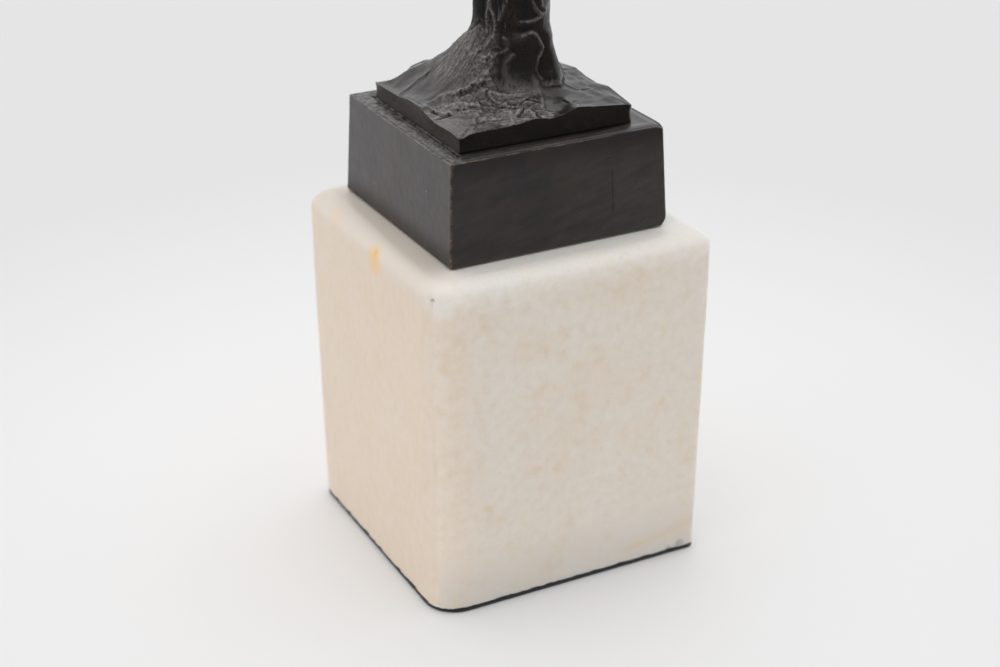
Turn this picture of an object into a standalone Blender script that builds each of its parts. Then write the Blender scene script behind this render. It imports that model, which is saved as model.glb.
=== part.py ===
"""Display plinth: a tall stone block on a felt pad, carrying a hollow bronze block and a rocky
bronze ground with the foot of a tree trunk.

One vertical stud clamps the bronze block to the stone. The bronze turns on the stud's axis.
Units are metres and +Z is up. The origin is on the stud's axis, at the underside of the felt.
"""

import math

import bmesh
import bpy
from mathutils import Vector

# ---- driving dimensions -------------------------------------------------------------------------
GAP = 0.0003  # clearance between pieces that touch
CUTTER_OVERRUN = 0.0020  # how far a cutter runs past the face it opens

FELT_THICKNESS = 0.0015
FELT_CORNER_RADII = (0.0040, 0.0045, 0.0110, 0.0025)
FELT_INSET = 0.0001  # from the stone's foot

# The stone was squared by hand: no two corners match, and the stud isn't quite at its middle.
STONE_FOOT = (0.0972, 0.0953)  # plan size at the foot, X by Y
STONE_FOOT_CENTRE = (-0.0014, -0.00295)
STONE_HEAD = (0.0994, 0.09815)  # plan size at the head
STONE_HEAD_CENTRE = (-0.0011, -0.00235)
STONE_HEIGHT = 0.1147
STONE_CORNER_RADII = (0.0040, 0.0045, 0.0098, 0.0025)  # corners at +X+Y, -X+Y, -X-Y and +X-Y
STONE_TOP_RADIUS = 0.0040
LEAST_CORNER_RADIUS = 0.0003
STUD_HOLE_RADIUS = 0.0050
COUNTERBORE_RADIUS = 0.0170
COUNTERBORE_DEPTH = 0.0160

BRONZE_OFFSET = (-0.0006, -0.0009)  # the bronze's own axes, from the stud's axis
BRONZE_YAW = math.radians(0.4)
BLOCK_FOOT = (0.0777, 0.0786)
BLOCK_FOOT_CENTRE = (0.0002, 0.0)  # in the bronze's own axes
BLOCK_HEAD = (0.0750, 0.0754)
BLOCK_HEAD_CENTRE = (0.00055, 0.00075)
BLOCK_HEIGHT = 0.0331
BLOCK_EDGE_RADIUS = 0.0010
CAVITY_CORNER_RADIUS = 0.0015
BLOCK_WALL = 0.0050
BLOCK_PLATE = 0.0045

GROUND_SIZE = (0.0616, 0.0607)  # plan size of the rocky slab
GROUND_OFFSET = (0.0001, 0.0003)  # its centre from the block's centre
GROUND_CORNER_RADIUS = 0.0020
GROUND_EDGE_HEIGHT = 0.0060
GROUND_RISE = 0.0022  # how much higher the slab is round the trunk
TRUNK_CENTRE = (0.0038, 0.0010)  # from the block's centre
TRUNK_RADIUS = 0.0121
TRUNK_TOP = 0.0430  # above the block
ROOT_DIRECTION = math.radians(142)  # the long root runs to the back left
ROOT_HEIGHT = 0.0150
ROOT_HALF_ANGLE = math.radians(52)
SWELL_REACH = 0.0180  # how far out from the trunk the slab's rise dies away
LUMP_HEIGHTS = (0.0006, 0.0004)
SHOULDER_HEIGHT = 0.0016  # a rise at the middle of the front edge
SHOULDER_PLACE, SHOULDER_SIZE = (0.0100, -0.0290), (0.0060, 0.0120)
CORE_RADIUS = 0.0065  # the casting is cored from below, up inside the trunk
CORE_HEIGHT = 0.0300

M8_RADIUS, M5_RADIUS, M4_RADIUS = 0.0040, 0.0025, 0.0020
STUD_LENGTH = 0.1300
STUD_FOOT = 0.0040  # height of the stud's lower end
NUT_WIDTH = 0.0130  # across the flats
NUT_HEIGHT = 0.0065
NUT_FACE_SHARE = 0.96  # the round face's share of the width across the flats
JAM_NUT_HEIGHT = 0.0040
STUD_CHAMFER = 0.0008
SCREW_EDGE = 0.0003
WASHER_EDGE = 0.0002
FIBRE_WASHER_RADIUS = 0.0150
PENNY_WASHER_RADIUS = 0.0125
LARGE_WASHER_THICKNESS = 0.0015  # of the fibre washer and the penny washer
SPRING_WASHER_RADIUS = 0.0074
SPRING_WASHER_HEIGHT = 0.0024
SPRING_SECTION_SHARE = 0.7  # the section's share of the spring washer's height
SPRING_TURN = math.radians(348)
SMALL_WASHER_RADIUS = 0.0045
SMALL_WASHER_THICKNESS = 0.0008
M5_HEAD_RADIUS, M5_HEAD_HEIGHT = 0.00425, 0.0033
M4_HEAD_RADIUS, M4_HEAD_HEIGHT = 0.0035, 0.0026

BAR_SIZE = (0.0620, 0.0160, 0.0060)
BAR_CLEARANCE = 0.0055  # from the stone's head to the bar
BAR_HOLE_X = 0.0265
BAR_CORNER_RADIUS = 0.0030
LUG_SIZE = (0.0150, 0.0160, 0.0100)
BRIDGE_SCREW_LENGTH = 0.0120

GROUND_SCREW_REACH = 0.0200  # each ground screw's X and Y distance from the block's centre
GROUND_SCREW_LENGTH = 0.0100

# ---- heights that follow ------------------------------------------------------------------------
STONE_BOTTOM = FELT_THICKNESS + GAP
STONE_TOP = STONE_BOTTOM + STONE_HEIGHT
BLOCK_BOTTOM = STONE_TOP + GAP
BLOCK_TOP = BLOCK_BOTTOM + BLOCK_HEIGHT
GROUND_BOTTOM = BLOCK_TOP + GAP
COUNTERBORE_TOP = STONE_BOTTOM + COUNTERBORE_DEPTH
BAR_BOTTOM = STONE_TOP + BAR_CLEARANCE
BAR_TOP = BAR_BOTTOM + BAR_SIZE[2]
PLATE_BOTTOM = BLOCK_TOP - BLOCK_PLATE

ROUND_SEGMENTS = 32
HEXAGON_SEGMENTS = 24
GROUND_STATIONS = 88  # points round the ground casting


# ---- scene and mesh helpers ---------------------------------------------------------------------
def clear_scene():
    for obj in list(bpy.data.objects):
        bpy.data.objects.remove(obj)


def make_material(name, colour, roughness, metallic):
    material = bpy.data.materials.new(name)
    material.use_nodes = True
    shader = material.node_tree.nodes["Principled BSDF"]
    shader.inputs["Base Color"].default_value = (*colour, 1.0)
    shader.inputs["Roughness"].default_value = roughness
    shader.inputs["Metallic"].default_value = metallic
    material.diffuse_color = (*colour, 1.0)
    return material


def add_rings(bm, rings, closed=False):
    """Skins a list of rings of equal length. A ring of one point is a pole. Unless closed, a first
    or last ring of many points gets a flat cap."""
    loops = [[bm.verts.new(p) for p in ring] for ring in rings]
    pairs = list(zip(loops, loops[1:]))
    if closed:
        pairs.append((loops[-1], loops[0]))
    for low, high in pairs:
        count = max(len(low), len(high))
        for i in range(count):
            j = (i + 1) % count
            corners = [low[i % len(low)], low[j % len(low)], high[j % len(high)], high[i % len(high)]]
            bm.faces.new(list(dict.fromkeys(corners)))
    if not closed:
        for end in (loops[0], loops[-1]):
            if len(end) > 1:
                bm.faces.new(end)


def ring_body(name, rings, material, closed=False, smooth_angle=math.radians(35)):
    """A new object: the closed body that the rings describe, with its faces pointing out."""
    bm = bmesh.new()
    add_rings(bm, rings, closed)
    bmesh.ops.recalc_face_normals(bm, faces=bm.faces)
    mesh = bpy.data.meshes.new(name)
    bm.to_mesh(mesh)
    bm.free()
    mesh.shade_smooth()
    mesh.set_sharp_from_angle(angle=smooth_angle)
    obj = bpy.data.objects.new(name, mesh)
    bpy.context.scene.collection.objects.link(obj)
    if material:
        mesh.materials.append(material)
    return obj


def circle(radius, z, count=ROUND_SEGMENTS):
    if radius == 0:
        return [Vector((0, 0, z))]
    turn = 2 * math.pi / count
    return [Vector((radius * math.cos(i * turn), radius * math.sin(i * turn), z)) for i in range(count)]


def turned(name, profile, material, closed=False):
    """A body of revolution from a profile of (radius, z) points."""
    return ring_body(name, [circle(r, z) for r, z in profile], material, closed)


def rounded_rectangle(size, radii, z, corner_steps=6, centre=(0, 0)):
    """Points round a rectangle whose four corners are arcs, of one radius or of four."""
    if isinstance(radii, float):
        radii = (radii,) * 4
    points = []
    for quarter, radius in enumerate(radii):
        start = quarter * math.pi / 2
        sign_x = 1 if quarter in (0, 3) else -1
        sign_y = 1 if quarter in (0, 1) else -1
        arc_x = centre[0] + sign_x * (size[0] / 2 - radius)
        arc_y = centre[1] + sign_y * (size[1] / 2 - radius)
        for step in range(corner_steps + 1):
            angle = start + step / corner_steps * math.pi / 2
            points.append(Vector((arc_x + radius * math.cos(angle), arc_y + radius * math.sin(angle), z)))
    return points


def box_body(name, low, high, material=None):
    xs, ys = (low[0], high[0]), (low[1], high[1])
    outline = [(xs[0], ys[0]), (xs[1], ys[0]), (xs[1], ys[1]), (xs[0], ys[1])]
    return ring_body(name, [[Vector((x, y, z)) for x, y in outline] for z in (low[2], high[2])], material)


def boolean(target, tool, operation):
    """Adds tool to target or cuts it away, and leaves tool behind as a wire guide."""
    modifier = target.modifiers.new(tool.name, "BOOLEAN")
    modifier.operation = operation
    modifier.solver = "EXACT"
    modifier.object = tool
    tool.hide_render = True
    tool.display_type = "WIRE"


def cut_cylinder(target, name, x, y, z_low, z_high, radius, parent=None):
    cutter = turned(name, [(0, z_low), (radius, z_low), (radius, z_high), (0, z_high)], None)
    cutter.location = (x, y, 0)
    cutter.parent = parent
    boolean(target, cutter, "DIFFERENCE")


def place(obj, parent, x=0.0, y=0.0):
    obj.parent = parent
    obj.location = (x, y, 0)
    return obj


def ring_at(fraction, low, high):
    return tuple(a + (b - a) * fraction for a, b in zip(low, high))


# ---- stone and felt -----------------------------------------------------------------------------
def build_felt(material):
    size = (STONE_FOOT[0] - 2 * FELT_INSET, STONE_FOOT[1] - 2 * FELT_INSET)
    rings = []
    for z in (0, FELT_THICKNESS):
        rings.append(rounded_rectangle(size, FELT_CORNER_RADII, z, centre=STONE_FOOT_CENTRE))
    return ring_body("felt_pad", rings, material)


def build_stone(material):
    """The block widens upwards, and its top edge is a quarter round that also tightens the corners."""
    rings = [rounded_rectangle(STONE_FOOT, STONE_CORNER_RADII, STONE_BOTTOM, centre=STONE_FOOT_CENTRE)]
    steps = 6
    for step in range(steps + 1):
        angle = step / steps * math.pi / 2
        inset = STONE_TOP_RADIUS * (1 - math.cos(angle))
        size = (STONE_HEAD[0] - 2 * inset, STONE_HEAD[1] - 2 * inset)
        z = STONE_TOP - STONE_TOP_RADIUS * (1 - math.sin(angle))
        radii = [max(radius - inset, LEAST_CORNER_RADIUS) for radius in STONE_CORNER_RADII]
        rings.append(rounded_rectangle(size, radii, z, centre=STONE_HEAD_CENTRE))
    stone = ring_body("stone_block", rings, material)
    below, above = STONE_BOTTOM - CUTTER_OVERRUN, STONE_TOP + CUTTER_OVERRUN
    cut_cylinder(stone, "stud_hole_cutter", 0, 0, below, above, STUD_HOLE_RADIUS)
    cut_cylinder(stone, "counterbore_cutter", 0, 0, below, COUNTERBORE_TOP, COUNTERBORE_RADIUS)
    return stone


# ---- bronze block -------------------------------------------------------------------------------
def build_block(material, axis):
    """A hollow casting, open below, with two lugs for the bridge bar."""
    block = ring_body("bronze_block", block_rings(), material)
    place(block, axis, *BRONZE_OFFSET)
    add_lugs(block, axis)
    for index, (x, y) in enumerate(ground_screw_places(), 1):
        name = f"plate_hole_cutter_{index}"
        below, above = PLATE_BOTTOM - CUTTER_OVERRUN, BLOCK_TOP + CUTTER_OVERRUN
        cut_cylinder(block, name, x, y, below, above, M4_RADIUS + GAP, axis)
    return block


def block_rings():
    """From the cavity's ceiling down its walls, round the foot and up the outside to the top."""
    edge, inner_radius = BLOCK_EDGE_RADIUS, CAVITY_CORNER_RADIUS
    plate_fraction = 1 - BLOCK_PLATE / BLOCK_HEIGHT
    inner_head = [s - 2 * BLOCK_WALL for s in ring_at(plate_fraction, BLOCK_FOOT, BLOCK_HEAD)]
    inner_foot = [s - 2 * BLOCK_WALL for s in BLOCK_FOOT]
    inner_centre = ring_at(plate_fraction, BLOCK_FOOT_CENTRE, BLOCK_HEAD_CENTRE)
    rings = [
        rounded_rectangle(inner_head, inner_radius, PLATE_BOTTOM, centre=inner_centre),
        rounded_rectangle(inner_foot, inner_radius, BLOCK_BOTTOM, centre=BLOCK_FOOT_CENTRE),
        rounded_rectangle([s - edge for s in BLOCK_FOOT], edge, BLOCK_BOTTOM, centre=BLOCK_FOOT_CENTRE),
        rounded_rectangle(BLOCK_FOOT, edge, BLOCK_BOTTOM + edge / 2, centre=BLOCK_FOOT_CENTRE),
    ]
    for step in range(3):
        angle = step / 2 * math.pi / 2
        inset = edge * (1 - math.cos(angle)) * 0.8
        size = [s - 2 * inset for s in BLOCK_HEAD]
        z = BLOCK_TOP - edge * (1 - math.sin(angle))
        rings.append(rounded_rectangle(size, edge - inset, z, centre=BLOCK_HEAD_CENTRE))
    return rings


def add_lugs(block, axis):
    length, width, height = LUG_SIZE
    lug_bottom = BAR_TOP + GAP
    wall_x = BLOCK_FOOT[0] / 2 - BLOCK_WALL / 2
    for index, side in enumerate((-1, 1), 1):
        near, far = sorted((side * (wall_x - length), side * wall_x))
        lug = box_body(f"lug_guide_{index}", (near, -width / 2, lug_bottom), (far, width / 2, lug_bottom + height))
        place(lug, axis, *BRONZE_OFFSET)
        boolean(block, lug, "UNION")
        hole_top = BAR_BOTTOM + BRIDGE_SCREW_LENGTH + 2 * GAP
        name = f"lug_hole_cutter_{index}"
        below = lug_bottom - CUTTER_OVERRUN
        cut_cylinder(block, name, side * BAR_HOLE_X, 0, below, hole_top, M5_RADIUS + GAP, axis)


def ground_screw_places():
    reach = GROUND_SCREW_REACH
    for side_x, side_y in ((-1, -1), (1, -1), (1, 1), (-1, 1)):
        yield BRONZE_OFFSET[0] + side_x * reach, BRONZE_OFFSET[1] + side_y * reach


# ---- rocky ground and trunk ---------------------------------------------------------------------
def smooth(t):
    t = max(0.0, min(1.0, t))
    return t * t * (3 - 2 * t)


def slab_height(x, y):
    """Height of the rock above the block: a slow swell towards the trunk, with lumps and hollows."""
    from_trunk = math.hypot(x - TRUNK_CENTRE[0], y - TRUNK_CENTRE[1])
    swell = GROUND_RISE * (1 - smooth((from_trunk - TRUNK_RADIUS) / SWELL_REACH))
    lumps = LUMP_HEIGHTS[0] * math.sin(x * 210 + 1.1) * math.cos(y * 260 + 0.4)
    lumps += LUMP_HEIGHTS[1] * math.sin(x * 480 - y * 390)
    off_x = (x - SHOULDER_PLACE[0]) / SHOULDER_SIZE[0]
    off_y = (y - SHOULDER_PLACE[1]) / SHOULDER_SIZE[1]
    return GROUND_EDGE_HEIGHT + swell + lumps + SHOULDER_HEIGHT * math.exp(-(off_x**2) - off_y**2)


def root_share(angle):
    """1 along the long root, falling to 0 away from it."""
    turn = math.remainder(angle - ROOT_DIRECTION, 2 * math.pi)
    return 1 - smooth(abs(turn) / ROOT_HALF_ANGLE)


def slab_edge(angle):
    """The point where a line from the trunk's centre at this angle meets the slab's outline."""
    half_x, half_y = GROUND_SIZE[0] / 2, GROUND_SIZE[1] / 2
    cos, sin = math.cos(angle), math.sin(angle)
    start_x, start_y = TRUNK_CENTRE[0] - GROUND_OFFSET[0], TRUNK_CENTRE[1] - GROUND_OFFSET[1]
    reach_x = (math.copysign(half_x, cos) - start_x) / cos if abs(cos) > 1e-9 else math.inf
    reach_y = (math.copysign(half_y, sin) - start_y) / sin if abs(sin) > 1e-9 else math.inf
    reach = min(reach_x, reach_y)
    x, y = start_x + reach * cos, start_y + reach * sin
    over_x = abs(x) - (half_x - GROUND_CORNER_RADIUS)
    over_y = abs(y) - (half_y - GROUND_CORNER_RADIUS)
    if over_x > 0 and over_y > 0:
        pull = GROUND_CORNER_RADIUS / math.hypot(over_x, over_y)
        x = math.copysign(half_x - GROUND_CORNER_RADIUS + over_x * min(1, pull), x)
        y = math.copysign(half_y - GROUND_CORNER_RADIUS + over_y * min(1, pull), y)
    return x + GROUND_OFFSET[0], y + GROUND_OFFSET[1]


def trunk_radius(angle, share):
    """The trunk is lobed. share runs from 0 at its foot to 1 at the top."""
    lobes = 0.0006 * math.cos(3 * angle + 0.6) + 0.0004 * math.cos(5 * angle)
    spread = 0.0018 * (1 - share) ** 3
    return TRUNK_RADIUS + lobes + spread


def ground_ring(share):
    """A ring of the rock's surface. share is 0 at the slab's edge and 1 at the trunk's foot."""
    points = []
    for station in range(GROUND_STATIONS):
        angle = 2 * math.pi * station / GROUND_STATIONS
        edge_x, edge_y = slab_edge(angle)
        foot = trunk_radius(angle, 0)
        foot_x, foot_y = TRUNK_CENTRE[0] + foot * math.cos(angle), TRUNK_CENTRE[1] + foot * math.sin(angle)
        x, y = edge_x + (foot_x - edge_x) * share, edge_y + (foot_y - edge_y) * share
        root = ROOT_HEIGHT * root_share(angle) * share**1.25
        points.append(Vector((x, y, BLOCK_TOP + slab_height(x, y) + root)))
    return points


def trunk_ring(share):
    """A ring of the trunk, climbing from the rock to the flat top."""
    foot_ring, points = ground_ring(1), []
    for station, foot in enumerate(foot_ring):
        angle = 2 * math.pi * station / GROUND_STATIONS
        radius = trunk_radius(angle, share)
        z = foot.z + (BLOCK_TOP + TRUNK_TOP - foot.z) * share
        points.append(
            Vector((TRUNK_CENTRE[0] + radius * math.cos(angle), TRUNK_CENTRE[1] + radius * math.sin(angle), z))
        )
    return points


def build_ground(material, axis):
    """Skinned from the core's ceiling, down the core, out under the slab and up over the rock."""
    core_centre = Vector((*TRUNK_CENTRE, 0))
    core_top = BLOCK_TOP + CORE_HEIGHT
    rings = [[core_centre + p for p in circle(CORE_RADIUS, z, GROUND_STATIONS)] for z in (core_top, GROUND_BOTTOM)]
    edge = ground_ring(0)
    rings.append([Vector((p.x, p.y, GROUND_BOTTOM)) for p in edge])
    rings.append([Vector((p.x, p.y, p.z - 0.0006)) for p in edge])
    rings += [ground_ring(share) for share in (0.02, 0.12, 0.25, 0.4, 0.55, 0.7, 0.84, 0.94)]
    rings += [trunk_ring(share) for share in (0.04, 0.14, 0.3, 0.5, 0.75, 1)]
    ground = ring_body("ground_casting", rings, material, smooth_angle=math.radians(50))
    place(ground, axis, *BRONZE_OFFSET)
    hole_top = ground_screw_tip() + GAP
    for index, (x, y) in enumerate(ground_screw_places(), 1):
        name = f"ground_hole_cutter_{index}"
        cut_cylinder(ground, name, x, y, BLOCK_TOP - CUTTER_OVERRUN, hole_top, M4_RADIUS + GAP, axis)
    return ground


# ---- fasteners ----------------------------------------------------------------------------------
def hexagon_ring(width, z, chamfer_from, direction):
    """A hexagon's outline. Past the radius chamfer_from its points lean in the given direction."""
    points = []
    for i in range(HEXAGON_SEGMENTS):
        angle = i * 2 * math.pi / HEXAGON_SEGMENTS
        radius = width / 2 / math.cos((angle + math.pi / 6) % (math.pi / 3) - math.pi / 6)
        drop = (radius - chamfer_from) * math.tan(math.radians(30))
        points.append(Vector((radius * math.cos(angle), radius * math.sin(angle), z + direction * drop)))
    return points


def hexagon_nut(name, width, z_low, z_high, bore, material):
    """A nut with both faces chamfered to a circle."""
    face_radius = width / 2 * NUT_FACE_SHARE
    rings = [
        circle(bore, z_low, HEXAGON_SEGMENTS),
        circle(bore, z_high, HEXAGON_SEGMENTS),
        circle(face_radius, z_high, HEXAGON_SEGMENTS),
        hexagon_ring(width, z_high, face_radius, -1),
        hexagon_ring(width, z_low, face_radius, 1),
        circle(face_radius, z_low, HEXAGON_SEGMENTS),
    ]
    return ring_body(name, rings, material, closed=True, smooth_angle=math.radians(20))


def washer(name, outer, inner, z_low, z_high, material):
    edge = min(WASHER_EDGE, (z_high - z_low) / 4)
    profile = [
        (inner, z_low),
        (inner, z_high),
        (outer - edge, z_high),
        (outer, z_high - edge),
        (outer, z_low + edge),
        (outer - edge, z_low),
    ]
    return turned(name, profile, material, closed=True)


def spring_washer(name, outer, inner, z_low, z_high, material):
    """A split ring of flat section that climbs as it goes round."""
    thickness = (z_high - z_low) * SPRING_SECTION_SHARE
    steps, rings = 40, []
    for step in range(steps + 1):
        angle = SPRING_TURN * step / steps
        bottom = z_low + (z_high - z_low - thickness) * step / steps
        corners = [(inner, bottom), (outer, bottom), (outer, bottom + thickness), (inner, bottom + thickness)]
        rings.append([Vector((r * math.cos(angle), r * math.sin(angle), z)) for r, z in corners])
    return ring_body(name, rings, material)


def cheese_head_screw(name, thread, length, head_radius, head_height, seat, material):
    """A slotted screw pointing up. seat is the height of its head's upper face."""
    edge = SCREW_EDGE
    profile = [
        (0, seat - head_height),
        (head_radius - edge, seat - head_height),
        (head_radius, seat - head_height + edge),
        (head_radius, seat),
        (thread, seat),
        (thread, seat + length - edge),
        (thread - edge, seat + length),
        (0, seat + length),
    ]
    screw = turned(name, profile, material)
    slot_half, slot_depth, past = head_radius * 0.14, head_height * 0.4, head_radius * 1.2
    low = (-past, -slot_half, seat - head_height - CUTTER_OVERRUN)
    high = (past, slot_half, seat - head_height + slot_depth)
    slot = box_body(f"{name}_slot_cutter", low, high)
    slot.parent = screw
    boolean(screw, slot, "DIFFERENCE")
    return screw


def build_stud(material, axis):
    """The stud is a plain rod of the thread's outer size, chamfered at both ends."""
    chamfer, top = STUD_CHAMFER, STUD_FOOT + STUD_LENGTH
    profile = [
        (0, STUD_FOOT),
        (M8_RADIUS - chamfer, STUD_FOOT),
        (M8_RADIUS, STUD_FOOT + chamfer),
        (M8_RADIUS, top - chamfer),
        (M8_RADIUS - chamfer, top),
        (0, top),
    ]
    return place(turned("centre_stud", profile, material), axis)


def build_clamp_stack(steel, fibre, axis):
    """Under the counterbore's ceiling: fibre, penny washer, spring washer, nut."""
    fibre_top = COUNTERBORE_TOP - GAP
    fibre_bottom = fibre_top - LARGE_WASHER_THICKNESS
    penny_top = fibre_bottom - GAP
    penny_bottom = penny_top - LARGE_WASHER_THICKNESS
    spring_top = penny_bottom - GAP
    spring_bottom = spring_top - SPRING_WASHER_HEIGHT
    nut_top = spring_bottom - GAP
    bore = M8_RADIUS + GAP
    washer("fibre_washer", FIBRE_WASHER_RADIUS, bore + GAP, fibre_bottom, fibre_top, fibre)
    place(washer("penny_washer", PENNY_WASHER_RADIUS, bore, penny_bottom, penny_top, steel), axis)
    place(spring_washer("spring_washer", SPRING_WASHER_RADIUS, bore, spring_bottom, spring_top, steel), axis)
    place(hexagon_nut("clamp_nut", NUT_WIDTH, nut_top - NUT_HEIGHT, nut_top, bore, steel), axis)


def build_bridge(steel, axis):
    """The bar hangs under the block's lugs, and the stud and its jam nut are at its middle."""
    length, width, _ = BAR_SIZE
    outline = [rounded_rectangle((length, width), BAR_CORNER_RADIUS, z, 3) for z in (BAR_BOTTOM, BAR_TOP)]
    bar = place(ring_body("bridge_bar", outline, steel), axis)
    below, above = BAR_BOTTOM - CUTTER_OVERRUN, BAR_TOP + CUTTER_OVERRUN
    cut_cylinder(bar, "bar_stud_hole_cutter", 0, 0, below, above, M8_RADIUS + GAP, axis)
    jam_bottom = BAR_TOP + GAP
    jam_nut = hexagon_nut("jam_nut", NUT_WIDTH, jam_bottom, jam_bottom + JAM_NUT_HEIGHT, M8_RADIUS + GAP, steel)
    place(jam_nut, axis)
    for index, side in enumerate((-1, 1), 1):
        x = side * BAR_HOLE_X
        cut_cylinder(bar, f"bar_screw_hole_cutter_{index}", x, 0, below, above, M5_RADIUS + GAP, axis)
        name, head = f"bridge_screw_{index}", (M5_HEAD_RADIUS, M5_HEAD_HEIGHT)
        screw = cheese_head_screw(name, M5_RADIUS, BRIDGE_SCREW_LENGTH, *head, BAR_BOTTOM - GAP, steel)
        place(screw, axis, x, 0)


def ground_washer_heights():
    top = PLATE_BOTTOM - GAP
    return top - SMALL_WASHER_THICKNESS, top


def ground_screw_tip():
    return ground_washer_heights()[0] - GAP + GROUND_SCREW_LENGTH


def build_ground_screws(steel, axis):
    low, high = ground_washer_heights()
    for index, (x, y) in enumerate(ground_screw_places(), 1):
        ring = washer(f"ground_washer_{index}", SMALL_WASHER_RADIUS, M4_RADIUS + GAP, low, high, steel)
        place(ring, axis, x, y)
        name, head = f"ground_screw_{index}", (M4_HEAD_RADIUS, M4_HEAD_HEIGHT)
        screw = cheese_head_screw(name, M4_RADIUS, GROUND_SCREW_LENGTH, *head, low - GAP, steel)
        place(screw, axis, x, y)


# ---- assembly -----------------------------------------------------------------------------------
def build():
    clear_scene()
    stone = make_material("ivory_stone", (0.72, 0.64, 0.54), 0.35, 0.0)
    felt = make_material("black_felt", (0.012, 0.012, 0.013), 0.95, 0.0)
    bronze = make_material("dark_bronze", (0.075, 0.062, 0.052), 0.38, 0.9)
    steel = make_material("zinc_steel", (0.60, 0.61, 0.63), 0.35, 1.0)
    fibre = make_material("red_fibre", (0.35, 0.08, 0.05), 0.7, 0.0)

    axis = bpy.data.objects.new("bronze_swivel_axis", None)
    bpy.context.scene.collection.objects.link(axis)
    axis.rotation_euler = (0, 0, BRONZE_YAW)

    build_felt(felt)
    build_stone(stone)
    build_block(bronze, axis)
    build_ground(bronze, axis)
    build_stud(steel, axis)
    build_clamp_stack(steel, fibre, axis)
    build_bridge(steel, axis)
    build_ground_screws(steel, axis)


build()
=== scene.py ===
"""The looks of the display plinth: felt, stone, patinated bronze, and the rocky bronze ground.

Shapes are worked out in millimetres in the CAD's frame and scaled to metres when a mesh is made.
The front is -Y, the narrower side seen at the left is -X, and +Z is up.
"""

import math
from collections import namedtuple

import bpy
import numpy as np
from mathutils import Matrix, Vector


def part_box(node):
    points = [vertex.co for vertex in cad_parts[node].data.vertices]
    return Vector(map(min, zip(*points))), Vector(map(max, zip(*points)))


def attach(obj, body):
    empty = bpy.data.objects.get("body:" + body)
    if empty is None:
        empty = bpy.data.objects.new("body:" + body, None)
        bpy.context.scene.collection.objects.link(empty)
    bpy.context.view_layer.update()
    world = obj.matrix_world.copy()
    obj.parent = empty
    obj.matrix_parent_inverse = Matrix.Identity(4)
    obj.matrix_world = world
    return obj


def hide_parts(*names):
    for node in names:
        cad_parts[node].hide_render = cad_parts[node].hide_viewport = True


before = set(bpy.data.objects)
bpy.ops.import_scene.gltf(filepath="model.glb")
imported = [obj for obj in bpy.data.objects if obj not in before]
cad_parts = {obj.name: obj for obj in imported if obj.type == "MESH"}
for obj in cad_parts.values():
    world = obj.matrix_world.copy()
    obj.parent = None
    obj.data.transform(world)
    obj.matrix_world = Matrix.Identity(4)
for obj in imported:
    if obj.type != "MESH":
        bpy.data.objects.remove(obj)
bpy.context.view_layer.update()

MM = 0.001


# ---- places taken from the frame, in millimetres ------------------------------------------------
def box_mm(name):
    low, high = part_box(name)
    return np.array(low) / MM, np.array(high) / MM


FELT_LOW, FELT_HIGH = box_mm("felt_pad")
STONE_LOW, STONE_HIGH = box_mm("stone_block")
BLOCK_LOW, BLOCK_HIGH = box_mm("bronze_block")
GROUND_LOW, GROUND_HIGH = box_mm("ground_casting")

# Corner radii are for +X+Y, -X+Y, -X-Y and +X-Y. Steps are (round each corner, along each side).
FELT_CORNERS = (4.0, 4.5, 11.0, 2.5)
FELT_STEPS = (24, 90)
FELT_INSET = 0.1  # from the stone's foot
# The felt's edge from its underside up: (how far in, share of the thickness)
FELT_EDGE = ((1.2, 0), (0.35, 0), (0.08, 0.12), (0, 0.35), (0, 0.65), (0.08, 0.88), (0.3, 1), (1.2, 1))
FELT_FUZZ = 0.09

STONE_CORNERS = (4.0, 4.5, 9.8, 2.5)
STONE_STEPS = (34, 62)
STONE_FULL_WIDTH_AT = np.array((0.85, 0.62))  # shares of the height, for the right and the back
STONE_TOP_DROP = 4.2  # how far down the faces the worn top edge starts
STONE_TOP_FRONT, STONE_TOP_SIDES = 6.5, 5.5  # how far in it ends on the top
STONE_TOP_WIDENING, STONE_TOP_DEEPENING = 3.0, 2.0  # more of both towards the back of the left side
STONE_ARRIS = math.radians(38)  # round the front corner from the left face
ARRIS_INSET, ARRIS_SINE, ARRIS_COSINE = (41.0, 41.65), 0.616, 0.788  # the same line, for the colours
STONE_PIT, PIT_DEPTH = np.array((-48.7, -47.6, 111.7)), 0.8
PIT_ALONG, PIT_ACROSS = np.array((0.10, -0.12, 0.99)), np.array((0.62, -0.78, 0))
COUNTERBORE_DEPTH, COUNTERBORE_RADIUS = 16.0, 17.0
STUD_HOLE_RADIUS = 5.0

BRONZE_YAW = math.radians(0.4)
SLAB_CENTRE = np.array((0.1, 0.3))  # in the bronze's own axes
BRONZE_CENTRE = (GROUND_LOW + GROUND_HIGH)[:2] / 2 - SLAB_CENTRE
BLOCK_FOOT = np.array(((-38.65, -39.3), (39.05, 39.3)))  # lowest and highest corners
BLOCK_HEAD = np.array(((-36.95, -36.95), (38.05, 38.45)))
BLOCK_TAPER = BLOCK_HEAD - BLOCK_FOOT
BLOCK_TAPER_POWER = np.array((1.0, 0.8))  # below 1, most of the taper is near the foot
BLOCK_CORNERS = (1.0, 0.8, 0.5, 1.4)
BLOCK_STEPS = (12, 130)
BLOCK_WALL, BLOCK_PLATE, BLOCK_INNER_CORNERS = 5.0, 4.5, (1.5,) * 4
SEAM_X, SEAM_FOOT, SEAM_HEAD = 18.9, 0.2, 0.70  # a hairline up the block's front, its ends in shares
BLOCK_BOTTOM, BLOCK_TOP = BLOCK_LOW[2], BLOCK_HIGH[2]
BLOCK_HEIGHT = BLOCK_TOP - BLOCK_BOTTOM
CHANNEL_END, CHANNEL_FULL = 32, 6  # where in x the dip along the ground's foot ends, and is deepest
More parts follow.
